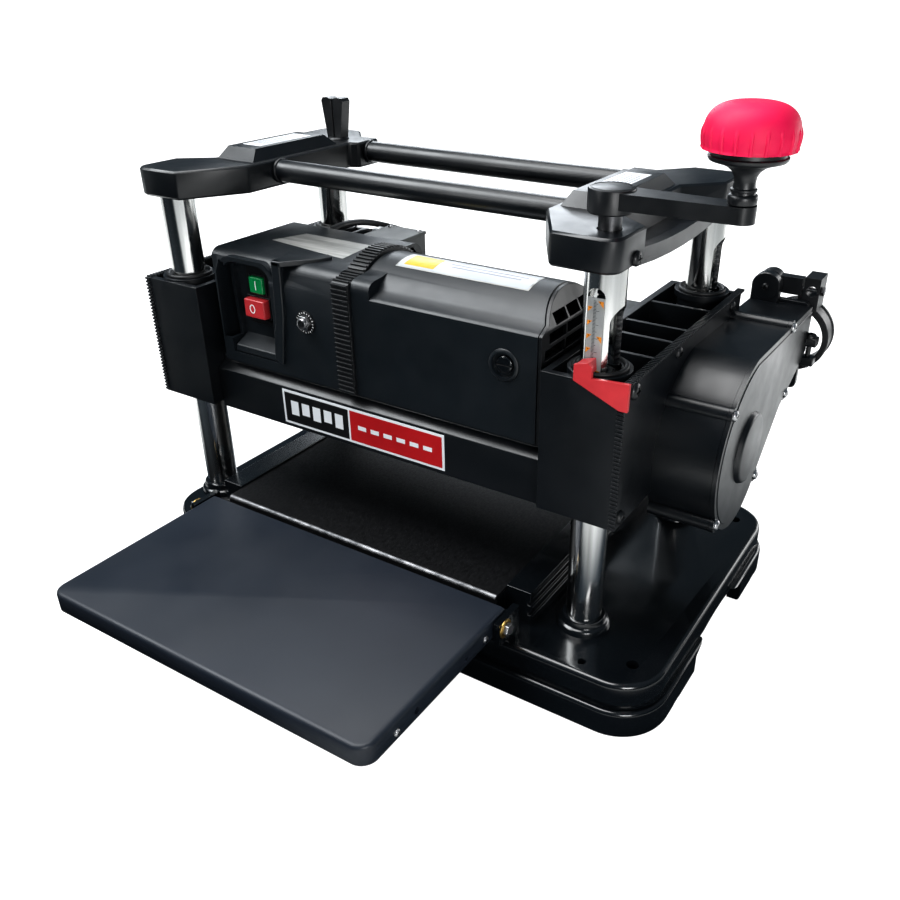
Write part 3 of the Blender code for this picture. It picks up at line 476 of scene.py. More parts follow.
def floor_place(tree):
    """X, Y, and the distance from the middle, stretched so that 1 is just past the machine on the floor."""
    place = added(tree, "TexCoord")
    split = added(tree, "SeparateXYZ")
    tree.links.new(place.outputs["Object"], split.inputs["Vector"])
    x, y = split.outputs["X"], split.outputs["Y"]
    across, along = computed(tree, "MULTIPLY", x, 2.4), computed(tree, "MULTIPLY", y, 3.0)
    far = computed(tree, "SQRT", computed(tree, "ADD", computed(tree, "POWER", across, 2.0),
                                          computed(tree, "POWER", along, 2.0)))
    return x, y, far


def floor_shade_tones(tree, x, y, far):
    """The floor as reflections see it: painted shade round the machine and in a sector to the front left, pale
    farther out.
    """
    # painted shade: dark within about the machine's size of the middle, and dark between about -153 and -85 degrees
    # round it
    reach = ramp(tree, computed(tree, "MULTIPLY", far, 0.2), [(0.19, (0.03, 0.04, 0.05)), (0.3, (0.9, 0.9, 0.88))])
    turn = computed(tree, "MULTIPLY_ADD", computed(tree, "ARCTAN2", y, x), 0.5 / math.pi, 0.5)
    sector = ramp(tree, turn, [(0.05, (1, 1, 1)), (0.075, (0.02, 0.025, 0.03)), (0.265, (0.02, 0.025, 0.03)),
                               (0.3, (1, 1, 1))])
    both = added(tree, "VectorMath")
    both.operation = "MULTIPLY"
    tree.links.new(reach, both.inputs[0])
    tree.links.new(sector, both.inputs[1])
    return both.outputs["Vector"]


def floor():
    """A pale floor that the camera sees almost white; its glow grows away from the machine, painted shade round it
    and painted light farther out.
    """
    bm = bmesh.new()
    bmesh.ops.create_grid(bm, x_segments=1, y_segments=1, size=8)
    mesh = bpy.data.meshes.new("floor")
    bm.to_mesh(mesh)
    bm.free()
    item = placed("floor", mesh)
    item.location.z = -0.0005
    made, tree, shader = shader_of("floor")
    seen = added(tree, "LightPath").outputs["Is Camera Ray"]
    tone = added(tree, "MixRGB", Color2=(0.3, 0.3, 0.3, 1))
    tree.links.new(seen, tone.inputs["Fac"])
    x, y, far = floor_place(tree)
    tree.links.new(floor_shade_tones(tree, x, y, far), tone.inputs["Color1"])
    tree.links.new(tone.outputs["Color"], shader.inputs["Base Color"])
    fill(shader, Roughness=0.8, Specular_IOR_Level=0.1, Emission_Color=(1, 1, 1, 1))
    # painted light and shade: the camera-seen glow is 0.8 at the middle and grows with the distance to at most 1.1
    glow = computed(tree, "MINIMUM", computed(tree, "MULTIPLY_ADD", far, 0.07, 0.8), 1.1)
    tree.links.new(computed(tree, "MULTIPLY", seen, glow), shader.inputs["Emission Strength"])
    mesh.materials.append(made)


# ---- shared small parts ---------------------------------------------------------------------------

def pan_head(axis, centre, seat, radius, facing, height=None):
    """A domed screw head with a cross recess, standing on a face."""
    height = height or radius * 0.62
    profile = [(seat - 0.4 * facing, radius), (seat + 0.35 * height * facing, radius),
               (seat + 0.75 * height * facing, radius * 0.86), (seat + height * facing, radius * 0.5)]
    head = turned(profile, axis, centre, 24)
    long, thin = radius * 0.55, radius * 0.13
    deep = seat + 0.45 * height * facing
    for half in ((long, thin), (thin, long)):
        outline = rectangle(around(centre[0], half[0]), around(centre[1], half[1]))
        head = cut(head, prism(outline, axis, *between(deep, deep + 3 * facing)))
    return head


def screws(name, node, places, finish="bright_steel"):
    """Pan heads from (axis, centre, seat, radius, facing) rows, as one piece."""
    return show(group([pan_head(*row) for row in places]), name, node, finish, smooth=50)


def ring(axis, centre, inner, outer, low, high, lip=0.6, count=64):
    """A washer or collar with broken edges."""
    body = turned(broken(low, high, outer, lip), axis, centre, count)
    return cut(body, rod(axis, centre, inner, low - 5, high + 5, count))


# ---- base and bed ---------------------------------------------------------------------------------

def base():
    x, y, z = span("base_casting")
    top = span("bed_casting")[2][0] - 0.3
    tier = top / 2
    low_wall = [(0, 2.4), (0.7, 1.0), (2.5, 0), (tier - 4, 0), (tier - 1.6, 0.5), (tier - 0.4, 1.8), (tier, 3.2)]
    high_wall = [(tier - 12, 3), (tier - 0.2, 2.0), (tier + 0.4, 0.8), (tier + 1.6, 0.1), (top - 4.5, 0.1),
                 (top - 1.8, 0.9), (top - 0.5, 2.4), (top, 4.6)]
    body = join(tiers(x, y, 44, low_wall, 16), tiers(grown(x, -4), grown(y, -4), 40, high_wall, 16))
    arch = [(-60, -5), (-60, 19)] + arc((0, -177), 206, 106.5, 73.5, 24) + [(60, 19), (60, -5)]
    cutters = [prism(rounded(grown(x, -12), grown(y, -12), 32), "z", -5, top - 8), prism(arch, "x", *grown(x, 20))]
    cutters += [box(grown(x, 5), (foot, foot + 12), (-2, 3.2)) for foot in (-108, 96)]
    cutters.append(rod("z", (234, -150), 3.5, 30, 60, 24))
    for hole in ((270, -132), (270, 120), (-208, -148), (-208, 136)):
        cutters.append(rod("z", hole, 5, 30, 60, 24))
    show(cut(body, *cutters), "base_shell", "base_casting", instead=True, smooth=50)
    for name in CORNERS:
        centre = middle("column_" + name)[:2]
        profile = [(top - 1, 23.2), (top + 0.5, 22.2), (top + 4, 21.7), (top + 5.2, 20.6), (top + 5.6, 19.3),
                   (top + 6.4, 18.6), (z[1] - 1.6, 18.4), (z[1] - 0.4, 17.8), (z[1], 16.6)]
        collar = cut(turned(profile, "z", centre), rod("z", centre, 15.25, 30, 80, 64))
        show(collar, "column_foot_" + name, "base_casting", smooth=45)


def bed():
    refined("bed_casting", 1.0)
    x, y, z = span("bed_sheet")
    top = z[1]
    outline = [(y[0] + 0.2, z[0])] + arc((y[0] + 3.6, top - 3.6), 3.6, 180, 90, 10)
    outline += arc((y[1] - 3.6, top - 3.6), 3.6, 90, 0, 10)
    outline += [(y[1] - 0.2, z[0]), (y[1] - 2, z[0]), (y[1] - 2, top - 2.5), (y[0] + 2, top - 2.5), (y[0] + 2, z[0])]
    show(prism(outline, "x", *x), "bed_plate", "bed_sheet", smooth=50, instead=True)
    # a painted highlight: a thin shell of paler steel over the bed plate's rolled front edge, where it catches the
    # light
    lip = arc((y[0] + 3.6, top - 3.6), 3.66, 172, 92, 10) + arc((y[0] + 3.6, top - 3.6), 3.3, 92, 172, 10)
    show(prism(lip, "x", *grown(x, -0.5)), "bed_front_highlight", "bed_sheet", "dark_steel", smooth=50)
    for name, side in SIDES.items():
        beads = [rod("y", (side * 177.2, height), 1.1, -131, 131, 12) for height in GUIDE_BEADS]
        show(group(beads), "guide_bead_" + name, "bed_casting", smooth=60)


def table(label, side):
    """A folding table's leaf: a shallow tray, open below, with its hinge bore and screws in its rims."""
    node = label + "_table"
    x, y, z = span(node)
    inner, outer = (y[1], y[0]) if side < 0 else (y[0], y[1])
    wall = [(z[0], 0.7), (z[0] + 0.7, 0), (z[1] - 3.4, 0), (z[1] - 1.6, 0.5), (z[1] - 0.5, 1.7), (z[1], 3.8)]
    body = tiers(x, between(inner - side * 20, outer), 13, wall, 14)
    room = between(inner - side * 10, outer - side * 3)
    body = cut(body, box(grown(x, 5), between(inner, inner - side * 30), grown(z, 5)),
               prism(rounded(grown(x, -3), room, 10), "z", z[0] - 5, z[1] - 3),
               rod("x", (inner + side * TABLE_PIVOT[0], TABLE_PIVOT[1]), 4.4, *grown(x, 5), 24),
               rod("x", (inner + side * 57, 70.5), 2.0, *grown(x, 5), 16),
               rod("x", (inner + side * 122, 70.5), 3.0, *grown(x, 5), 16))
    show(body, label + "_table_leaf", node, smooth=45, instead=True)
    screws(label + "_rim_screws", node, [("x", (inner + side * reach, 70.0), seat, 3.1, facing)
                                         for facing, seat in ((1, x[1]), (-1, x[0])) for reach in (30, 146)])


def table_hinge(label):
    """Shoulder screws with brass washers at the two ends of a table's hinge."""
    refined(label + "_hinge_yoke", 0.8)
    node = label + "_hinge_rod"
    x, pivot = span(node)[0], middle(node)[1:]
    washers = []
    for name, side in SIDES.items():
        seat = side * HINGE_END
        washers.append(ring("x", pivot, 4.6, 8.2, *between(seat, seat + side * 1.4), lip=0.3, count=40))
        nut = rod("x", pivot, 6.0, *between(seat + side * 1.4, seat + side * 5.4), 6)
        show(nut, f"{label}_hinge_nut_{name}", node, "bright_steel", 0.5)
    show(group(washers), label + "_hinge_washers", node, "brass", smooth=50)
    show(rod("x", pivot, 3.9, x[0] + 1, x[1] - 1, 32), label + "_hinge_pin", node, instead=True)


# ---- columns and top ------------------------------------------------------------------------------

def slot_cutter(centre, angle, slot, radius):
    """Cuts a round-topped slot through one side of a column."""
    width, low, high = slot
    half = width / 2
    outline = [(-half, low), (half, low)] + arc((0, high - half), half, 0, 180, 20)
    cutter = prism(outline, "y", -radius - 5, -4)
    turn = Matrix.Rotation(angle + math.pi / 2, 4, "Z")
    cutter.data.transform(Matrix.Translation((centre[0], centre[1], 0)) @ turn)
    return cutter


def columns():
    for name in CORNERS:
        node = "column_" + name
        x, _, z = span(node)
        centre, radius = middle(node)[:2], (x[1] - x[0]) / 2
        outward = 0 if centre[0] > 0 else math.pi
        tube = cut(turned(broken(*z, radius, 0.4), "z", centre, 96),
                   rod("z", centre, radius - 2.6, *grown(z, 5), 64), slot_cutter(centre, outward, NUT_SLOT, radius))
        if name == "front_right":
            tube = cut(tube, slot_cutter(centre, -math.pi / 2, SCALE_SLOT, radius))
        show(tube, "tube_" + name, node, smooth=25, instead=True)


def thickness_scale():
    """A millimetre scale with flags every 10 mm on its left and every inch on its right."""
    node = "thickness_scale"
    x, y, z = span(node)
    refined(node, 0.2)
    proud = (y[0] - 0.12, y[0] + 0.1)
    ticks = []
    for step in range(int(z[1] - z[0]) - 3):
        height = z[0] + 2.7 + step
        reach = 4.6 if step % 10 == 0 else 3.4 if step % 5 == 0 else 2.2
        ticks.append(box((x[0] + 4.4, x[0] + 4.4 + reach), proud, (height, height + 0.26)))
    flags = []
    for height in range(int(z[0]) + 4, int(z[1]) - 4, 10):
        flags.append([(x[0] + 0.4, height + 1.5), (x[0] + 4.2, height + 1.5), (x[0] + 0.4, height - 2.3)])
    for inch in range(5):
        height = z[1] - 2 - INCH * inch
        flags.append([(x[1] - 4.6, height), (x[1] - 0.4, height), (x[1] - 0.4, height - 4.6)])
    show(group(ticks), "scale_ticks", node, "ink")
    show(group([prism(flag, "y", *proud) for flag in flags]), "scale_flags", node, "orange")
    dots = [box((x0 + 1.2, x0 + 2.0), (proud[0] - 0.05, proud[1]), (z0 - 1.3, z0 - 0.5))
            for (x0, z0), *_ in flags]
    show(group(dots), "scale_dots", node, "ink")


def lead_screws():
    """Threaded rods with their sprockets, seen through the column slots."""
    for name in CORNERS:
        node = "lead_screw_" + name
        centre, top = middle(node)[:2], span(node)[2][1]
        low, high = THREAD
        profile = [(16, 6.3), (19, 6.3), (19, 8.8), (20.5, 10.6), (25.5, 10.6), (27, 8.8), (27, 6.3), (low, 6.3)]
        for turn in range(int((high - low) / THREAD_PITCH)):
            z = low + THREAD_PITCH * turn
            profile += [(z + 0.6, 4.3), (z + 1.6, 4.3), (z + 2.3, 5.45), (z + 3.6, 5.45)]
        profile += [(high + 0.6, 5.3)]
        profile += [(high + 3, 8.1), (top, 8.1)] if name == "front_right" else [(top, 5.3)]
        show(turned(profile, "z", centre, 24), "screw_" + name, node, "dark_steel", smooth=30, instead=True)


def brackets():
    """The two top brackets with their labels, left without text, and their clamp screws."""
    for name, side in SIDES.items():
        node = "bracket_" + name
        refined(node, 2.4, segments=4, smooth=50)
        top, mid = span(node)[2][1], side * BRACKET_MIDDLE
        label = box(around(mid, 11), (-42, 26), (top - 0.4, top + 0.3))
        show(label, f"bracket_{name}_label", node, "label_white", 0.15)
        lines = [box((mid - 8 + 3.2 * row, mid - 7 + 3.2 * row), (-34, 18 - 9 * (row % 2)), (top, top + 0.45))
                 for row in range(6)]
        show(group(lines), f"bracket_{name}_label_lines", node, "grey_print")
        places = [("x", (y, 363.5), side * BRACKET_FACE, 5.4, side) for y in (-100, 96)]
        screws(f"bracket_{name}_clamp_screws", node, places, "satin_black")


def bars():
    for name in ("front", "rear"):
        node = "top_bar_" + name
        x, _, z = span(node)
        centre, radius = middle(node)[1:], (z[1] - z[0]) / 2
        show(rod("x", centre, radius, *x, 64), "bar_" + name, node, "cast_black", instead=True)
        for label, side in SIDES.items():
            end = x[1] if side > 0 else x[0]
            collar = ring("x", centre, radius - 0.3, radius + 1.1, *between(end - side * 3.2, end), 0.7)
            show(collar, f"bar_{name}_collar_{label}", node, "satin_black", smooth=50)


def crank():
    node = "crank_arm"
    z = span(node)[2]
    hub, tip = middle("lead_screw_front_right")[:2], middle("crank_knob_stem")[:2]
    body = turned([(z[0], 15.2), (z[0] + 0.9, 16), (z[1] - 1.2, 16), (z[1] - 0.4, 15.6), (z[1], 14.6)], "z", hub, 96)
    blade = [(hub[0], hub[1] - 12.5), (tip[0] + 1, tip[1] - 8.8)] + arc(tip, 9.3, -70, 70, 16)
    blade += [(tip[0] + 1, tip[1] + 8.8), (hub[0], hub[1] + 12.5)]
    body = join(body, prism(blade, "z", z[0] + 4, z[1] - 1.5))
    show(body, "crank_handle", node, edge=1.1, segments=4, instead=True)
    show(ring("z", hub, 13.2, 14.4, z[1] - 0.5, z[1] + 0.25, 0.2, 72), "crank_cap_rim", node, smooth=50)


def knob():
    """The turned stem, and the cap with its ribs, a lip at its foot and a crowned top."""
    centre, low = middle("crank_knob_stem")[:2], span("crank_knob_stem")[2][0]
    profile = [(0, 8.2), (0.8, 8.9), (4.5, 9.1), (6, 8.6), (6.5, 7.4), (7.6, 7.2), (8.2, 8.0), (9.4, 8.0), (10, 6.9),
               (13, 6.5), (16.5, 6.9), (19.5, 8.6), (22, 11.6), (23.8, 15.6), (25, 20), (25.8, 22.6), (27, 23.6),
               (28.4, 23.9), (29.2, 22.6), (32, 22.6)]
    show(turned(raised(low, profile), "z", centre, 96), "knob_stem", "crank_knob_stem", smooth=50, instead=True)
    z = span("crank_knob_cap")[2]
    count, levels, skirt = 480, 34, 0.36
    rings = [[Vector((*point, z[0] + 0.2)) for point in circle(centre, 23.0, count)]]
    for level in range(levels + 1):
        t = level / levels
        if t < skirt:
            wall, rise = KNOB_RADIUS - 0.9 + 1.1 * math.sin(t / skirt * math.pi * 0.6), t
        else:
            swing = (t - skirt) / (1 - skirt) * math.pi / 2
            wall, rise = KNOB_RADIUS * math.cos(swing) ** 0.62, skirt + (1 - skirt) * math.sin(swing) ** 0.9
        fade = min(1, max(0, (0.44 - t) / 0.07)) * min(1, max(0, (t + 0.02) / 0.05))
        lip = 0.8 * max(0.0, 1 - t / 0.06)
        outline = []
        for i in range(count):
            angle = 2 * math.pi * i / count
            rib = ease((math.cos(KNOB_RIBS * angle) - 0.72) / 0.2)
            reach = max(wall, 1.2) + 0.9 * rib * fade + lip
            outline.append(Vector((centre[0] + reach * math.cos(angle), centre[1] + reach * math.sin(angle),
                                   z[0] + (z[1] - z[0]) * rise)))
        rings.append(outline)
    show(loft(rings), "knob_cap", "crank_knob_cap", smooth=60, instead=True)


def lever():
    """A paddle of two lobes with a groove down the middle of each face."""
    node = "lock_lever"
    x, y, z = span(node)
    mid = sum(x) / 2
    lobes = []
    for side in SIDES.values():
        outline = [(mid - side * 0.6, z[0]), (mid + side * 8.2, z[0]), (mid + side * 13.4, z[1] - 3.5),
                   (mid + side * 11.5, z[1] - 0.6), (mid + side * 6, z[1]), (mid + side * 1.6, z[1] - 1.4),
                   (mid - side * 0.6, z[1] - 2.6)]
        lobes.append(prism(outline, "y", *y))
    body = join(*lobes)
    for face, sign in ((y[0], -1), (y[1], 1)):
        groove = [(mid - 1.6, face + sign), (mid + 1.6, face + sign), (mid, face - sign * 2.6)]
        body = cut(body, prism(groove, "z", *grown(z, 5)))
    show(body, "lever_paddle", node, edge=0.9, instead=True)
    foot = raised(z[0], [(-0.2, 11), (1.2, 10.6), (2.2, 9)])
    show(turned(foot, "z", middle(node)[:2], 48), "lever_foot", node, smooth=50)


# ---- carriage -------------------------------------------------------------------------------------

def teeth_along(low, high):
    """The ranges of the teeth along an edge."""
    firsts = [low + 1.2 + TEETH_PITCH * i for i in range(int((high - low) / TEETH_PITCH))]
    return [(first, first + 1.9) for first in firsts]


def end_boxes():
    """The two end boxes, with teeth along their outer top edge and their front outer edge."""
    for name, side in SIDES.items():
        node = name + "_end_box"
        refined(node, 1.3)
        x, y, z = span(node)
        outer = x[1] if side > 0 else x[0]
        top = z[1] - 2.5
        teeth = [box(between(outer - side * 6, outer + side * 0.8), tooth, around(top, 1.2))
                 for tooth in teeth_along(*y)]
        teeth += [box(between(outer - side * 5, outer + side * 0.9), (y[0] - 1.1, y[0] + 1), tooth)
                  for tooth in teeth_along(z[0], top)]
        show(group(teeth), f"{name}_box_teeth", node, edge=0.35, segments=1)
        places = [("x", (y[0] + 8, z[0] + 9), outer, 5.6, side), ("x", (y[1] - 8, z[0] + 9), outer, 5.0, side),
                  ("x", (-30, top - 6), outer, 4.6, side), ("x", (96, top - 6), outer, 4.6, side)]
        screws(f"{name}_box_screws", node, places, "satin_black")
        for row in ("front", "rear"):
            centre = middle(f"column_{row}_{name}")[:2]
            profile = raised(top, [(1.8, 20.0), (2.6, 20.9), (4.0, 21.0), (4.9, 20.2), (5.2, 18.9), (4.4, 17.6),
                                   (3.2, 17.0), (3.2, 16.1)])
            seal = cut(turned(profile, "z", centre), rod("z", centre, 15.35, top - 5, top + 12, 64))
            show(seal, f"{name}_{row}_column_seal", node, "black_rubber", smooth=60)


def beam():
    refined("front_beam", 0.9)
    y = span("front_beam")[1][0]
    plates = (("plate_border", (-95.7, 83.4), (163.9, 197.6), 0.35, "label_white"),
              ("plate_dark", (-93.3, -18.8), (166.2, 195.3), 0.5, "ink"),
              ("plate_red", (-16.9, 81.1), (166.2, 195.3), 0.5, "label_red"))
    for name, x, z, proud, finish in plates:
        show(box(x, (y - proud, y + 0.4), z), name, "front_beam", finish, 0.12, 1)
    blocks = [box((-86 + 13 * i, -77 + 13 * i), (y - 0.62, y), (174 + 2.2 * (i % 2), 188)) for i in range(5)]
    show(group(blocks), "plate_blocks", "front_beam", "label_white")
    dashes = [box((-8 + 14 * i, 1 + 14 * i), (y - 0.62, y), (178.6, 182.6)) for i in range(6)]
    show(group(dashes), "plate_dashes", "front_beam", "label_white")


def motor_outline(out, corner, steps=36):
    """The motor's section as (y, z), grown outward: an arch that meets a flat front near the corner's height."""
    axis = middle("motor_rotor")[1:]
    radius = MOTOR_RADIUS + out
    _, (front, _), (foot, _) = span("motor_cover")
    front -= out
    first = 180 - math.degrees(math.asin((corner + 3 - axis[1]) / radius))
    ledge = [(front, foot), (front, corner - 2.0), (front + 1.2, corner - 0.6), (front + 2.6, corner)]
    return ledge + arc(axis, radius, first, 0, steps) + [(axis[0] + radius, foot)]


def lean(item):
    """Tilts the motor's fan end back above the corner's height."""
    bm = bmesh.new()
    bm.from_mesh(item.data)
    bmesh.ops.bisect_plane(bm, geom=bm.verts[:] + bm.edges[:] + bm.faces[:],
                           plane_co=(0, 0, COVER_CORNER), plane_no=(0, 0, 1))
    for vert in bm.verts:
        if vert.co.x > FAN_END and vert.co.z > COVER_CORNER:
            vert.co.x -= FAN_END_LEAN * (vert.co.z - COVER_CORNER)
    bm.to_mesh(item.data)
    bm.free()
    return item


def motor_shell(x, out, inset, corner):
    """A length of the motor's casing and the hollow to cut from it, open at both ends and below."""
    foot = span("motor_cover")[2][0]
    hollow = motor_outline(-inset, corner)
    hollow[0] = (hollow[0][0], foot - 10)
    hollow[-1] = (hollow[-1][0], foot - 10)
    return prism(motor_outline(out, corner), "x", *x), prism(hollow, "x", *grown(x, 5))


def motor():
    node = "motor_cover"
    x, y, z = span(node)
    shell, hollow = motor_shell(x, 0, 3, COVER_CORNER)
    shoulder = [(y[0], z[0]), (y[0], 307), (y[0] + 1.4, 310.6), (y[0] + 4.5, 313), (y[0] + 9, 314.2),
                (-100, 314.6), (-84, 318), (-70, 318), (-70, z[0])]
    shell = cut(join(shell, prism(shoulder, "x", x[0], x[0] + 19)), hollow,
                rod("y", BRUSH, 13.5, y[0] - 5, y[0] + 1.6, 64), rod("y", BRUSH, 10.2, y[0], y[0] + 2.4, 64))
    show(lean(shell), "motor_shell", node, edge=0.9, smooth=35, instead=True)
    show(ring("y", BRUSH, 10.2, 13.2, y[0] - 0.9, y[0] + 3, 0.7), "brush_socket", node, smooth=50)
    cap = turned(raised(y[0], [(2.7, 7.4), (0.8, 7.2), (0.1, 6.5), (-0.2, 5.2)]), "y", BRUSH)
    cap = cut(cap, box(around(BRUSH[0], 9), (y[0] - 3, y[0] + 0.9), around(BRUSH[1], 0.9)))
    show(cap, "brush_cap", node, "gloss_black", smooth=50)
    arch_label()


def arch_strip(x, first, last, proud, steps=10):
    """A thin sheet lying on the motor's arch between two angles."""
    centre = middle("motor_rotor")[1:]
    outline = arc(centre, MOTOR_RADIUS + proud, first, last, steps)
    outline += arc(centre, MOTOR_RADIUS - 0.3, last, first, steps)
    return prism(outline, "x", *x)


def arch_label():
    node = "motor_cover"
    show(arch_strip((15, 140), 83, 111, 0.22), "label_edge", node, "label_silver", smooth=60)
    # the label's face is white; its finish is a darker copy of label_white, painted shade
    show(arch_strip((16.4, 138.6), 84.4, 109.6, 0.34), "label_face", node, "label_white_shaded", smooth=60)
    show(arch_strip((21, 50), 87, 107, 0.44), "label_patch", node, "label_yellow", smooth=60)
    rows = [arch_strip((60 + 3 * row, 131 - 4 * row), 92 + 5 * row, 93.9 + 5 * row, 0.44, 3) for row in range(2)]
    show(group(rows), "label_rules", node, "grey_print", smooth=60)


def rotor():
    """The motor's shaft with pulley, armature, commutator and a bladed fan behind the grille."""
    node = "motor_rotor"
    centre = middle(node)[1:]
    parts = (("rotor_shaft", span(node)[0], 5.0, "bright_steel"), ("rotor_pulley", (-211, -197), 10.8, "satin_black"),
             ("rotor_armature", (12, 92), 26.8, "copper"), ("rotor_commutator", (94, 114), 13.8, "copper"),
             ("rotor_fan_plate", (136, 138), 41.5, "satin_black"))
    for name, reach, radius, finish in parts:
        show(rod("x", centre, radius, *reach), name, node, finish, edge=0.4, instead=name == "rotor_shaft")
    blades, count = [], 14
    for i in range(count):
        blade = box((138, 147.5), (12, 41), (-0.8, 0.8))
        blade.data.transform(Matrix.Translation((0, *centre)) @ Matrix.Rotation(2 * math.pi * i / count, 4, "X"))
        blades.append(blade)
    show(group(blades), "rotor_fan_blades", node, "satin_black")


def ribbed_band():
    """The band round the motor, with ribs laid across it at even steps along its outline."""
    node = "motor_band"
    x = span(node)[0]
    shell, hollow = motor_shell(x, BAND_PROUD, 3, BAND_CORNER)
    show(cut(shell, hollow), "band_shell", node, edge=0.4, segments=2, instead=True)
    ribs = []
    path = [Vector(p) for p in motor_outline(BAND_PROUD, BAND_CORNER, 60)]
    travel = 2.5
    for a, b in zip(path, path[1:]):
        length = (b - a).length
        while travel < length:
            along = (b - a).normalized()
            spot = a + along * travel
            outward = Vector((-along.y, along.x))
            corners = [spot - along * 1.1 - outward, spot + along * 1.1 - outward,
                       spot + along * 0.75 + outward * 1.5, spot - along * 0.75 + outward * 1.5]
            ribs.append(prism([(c.x, c.y) for c in corners], "x", *grown(x, -0.3)))
            travel += RIB_PITCH
        travel -= length
    show(group(ribs), "band_ribs", node, edge=0.25, segments=2)


def vent():
    """The motor's slotted end: rows of three slots, as wide as the arch is at their height."""
    node = "vent_grille"
    x, _, z = span(node)
    axis = middle("motor_rotor")[1:]
    plate = prism(motor_outline(-0.8, COVER_CORNER), "x", *x)
    pitch, height, narrowest = 11.6, 8.2, 12
    for row in range(9):
        low = z[0] + 9 + pitch * row
        high = low + height
        if high < axis[1]:
            reach = MOTOR_RADIUS - 8
        else:
            reach = math.sqrt(max((MOTOR_RADIUS - 3) ** 2 - (high - axis[1]) ** 2, 0))
        if reach < narrowest:
            continue
        edges = [-reach, -reach / 3 - 1.2, -reach / 3 + 1.2, reach / 3 - 1.2, reach / 3 + 1.2, reach]
        for near, far in zip(edges[::2], edges[1::2]):
            plate = cut(plate, box(grown(x, 5), (axis[0] + near, axis[0] + far), (low, high)))
    show(lean(plate), "vent_plate", node, edge=0.35, segments=2, instead=True)


# ---- switch housing -------------------------------------------------------------------------------

def panel_recess(grow, corner=14):
    """The switch recess seen from the front as (x, z)."""
    stop = span("stop_button")
    left, right = stop[0][0] - 17 - grow, stop[0][1] + 16 + grow
    low, high = grown(RECESS_HEIGHTS, grow)
    points = [(left + 3, low), (right, low), (right, high - corner)]
    points += arc((right - corner, high - corner), corner, 0, 90, 8)
    return points + arc((left + corner, high - corner), corner, 90, 180, 8)


def button_block(button, margins, y):
    """A block round a button, wider and higher than it by the two margins."""
    wide, _, high = span(button)
    return box(grown(wide, margins[0]), y, grown(high, margins[1]))


def housing():
    """The switch housing with its recess, its breaker's fittings and its name plate, left blank."""
    node = "switch_housing"
    x, y, z = span(node)
    front, rear = HOUSING_FRONT, y[1]
    section = [(front, z[0]), (front, HOUSING_CORNER)] + arc((front + 16, z[1] - 12), 12, 175, 95, 8)
    section += arc((rear - 14, z[1] - 14), 14, 88, 2, 8) + [(rear, z[0])]
    inner = [(front + 3, z[0] - 10), (front + 3, HOUSING_CORNER), (front + 14, z[1] - 3), (rear - 14, z[1] - 3),
             (rear - 3, z[1] - 16), (rear - 3, z[0] - 10)]
    breaker = middle("reset_button")[::2]
    body = cut(prism(section, "x", *x), prism(inner, "x", x[0] + 4, x[1] + 5))
    body = join(body, prism(panel_recess(4), "y", front + 1, -89))
    body = cut(body, prism(panel_recess(0), "y", front - 10, RECESS_BACK),
               box((x[0] + 9, x[0] + 19), (front - 5, -104), (z[0] + 22, 306)),
               box((x[0] - 5, x[0] + 7), (front - 5, front + 6), grown(z, 5)),
               *[button_block(button, (0.3, 0.3), (-120, -91)) for button in BUTTONS],
               rod("y", breaker, 4, front - 5, front + 8, 24))
    show(body, "housing_shell", node, edge=1.3, smooth=35, instead=True)
    housing_trim(node, front, z)
    breaker_ring(node, front, breaker)
    plate = [(-141, -64), (-47, -77), (-52, -31), (-129, -31)]
    show(prism(plate, "z", z[1] - 0.3, z[1] + 0.25), "name_plate", node, "label_silver", 0.12, 1)


def housing_trim(node, front, z):
    """The bar beside the recess, the recess's sill, the switch's plate and the frames round its buttons."""
    bar = [(-97.5, z[0] + 14), (-88, z[0] + 10), (-83.5, z[0] + 40), (-81, 270), (-79, z[1] + 3), (-89, z[1] + 3),
           (-91.5, 262), (-94.5, z[0] + 40)]
    show(prism(bar, "y", front - 3.2, front + 2), "switch_trim", node, edge=1.6)
    hook = [(-89, front - 3.2), (-79, front - 3.2), (-58, -96), (-52, -84), (-60, -80), (-66, -90), (-89, -97)]
    show(prism(hook, "z", z[1] - 2, z[1] + 3), "switch_trim_top", node, edge=1.2)
    sill = [(-101, z[0] + 10), (-98.5, z[0] + 13), (-98.5, z[0] + 24), (front + 2, z[0] + 16), (front + 1, z[0] + 10)]
    show(prism(sill, "x", -150, -99), "recess_sill", node, edge=1.0)
    body = [(-137.5, 249), (-106, 249), (-104, 252), (-104, 292), (-112, 303), (-137.5, 303)]
    holes = [button_block(button, (0.4, 0.4), (-110, -90)) for button in BUTTONS]
    show(cut(prism(body, "y", -104.2, -99), *holes), "switch_plate", node, "ink", edge=0.7)
    for button in BUTTONS:
        bezel = cut(button_block(button, (1.9, 1.7), (-105.6, -103.5)), button_block(button, (0.5, 0.5), (-115, -95)))
        show(bezel, button + "_bezel", node, "satin_black", edge=0.5)


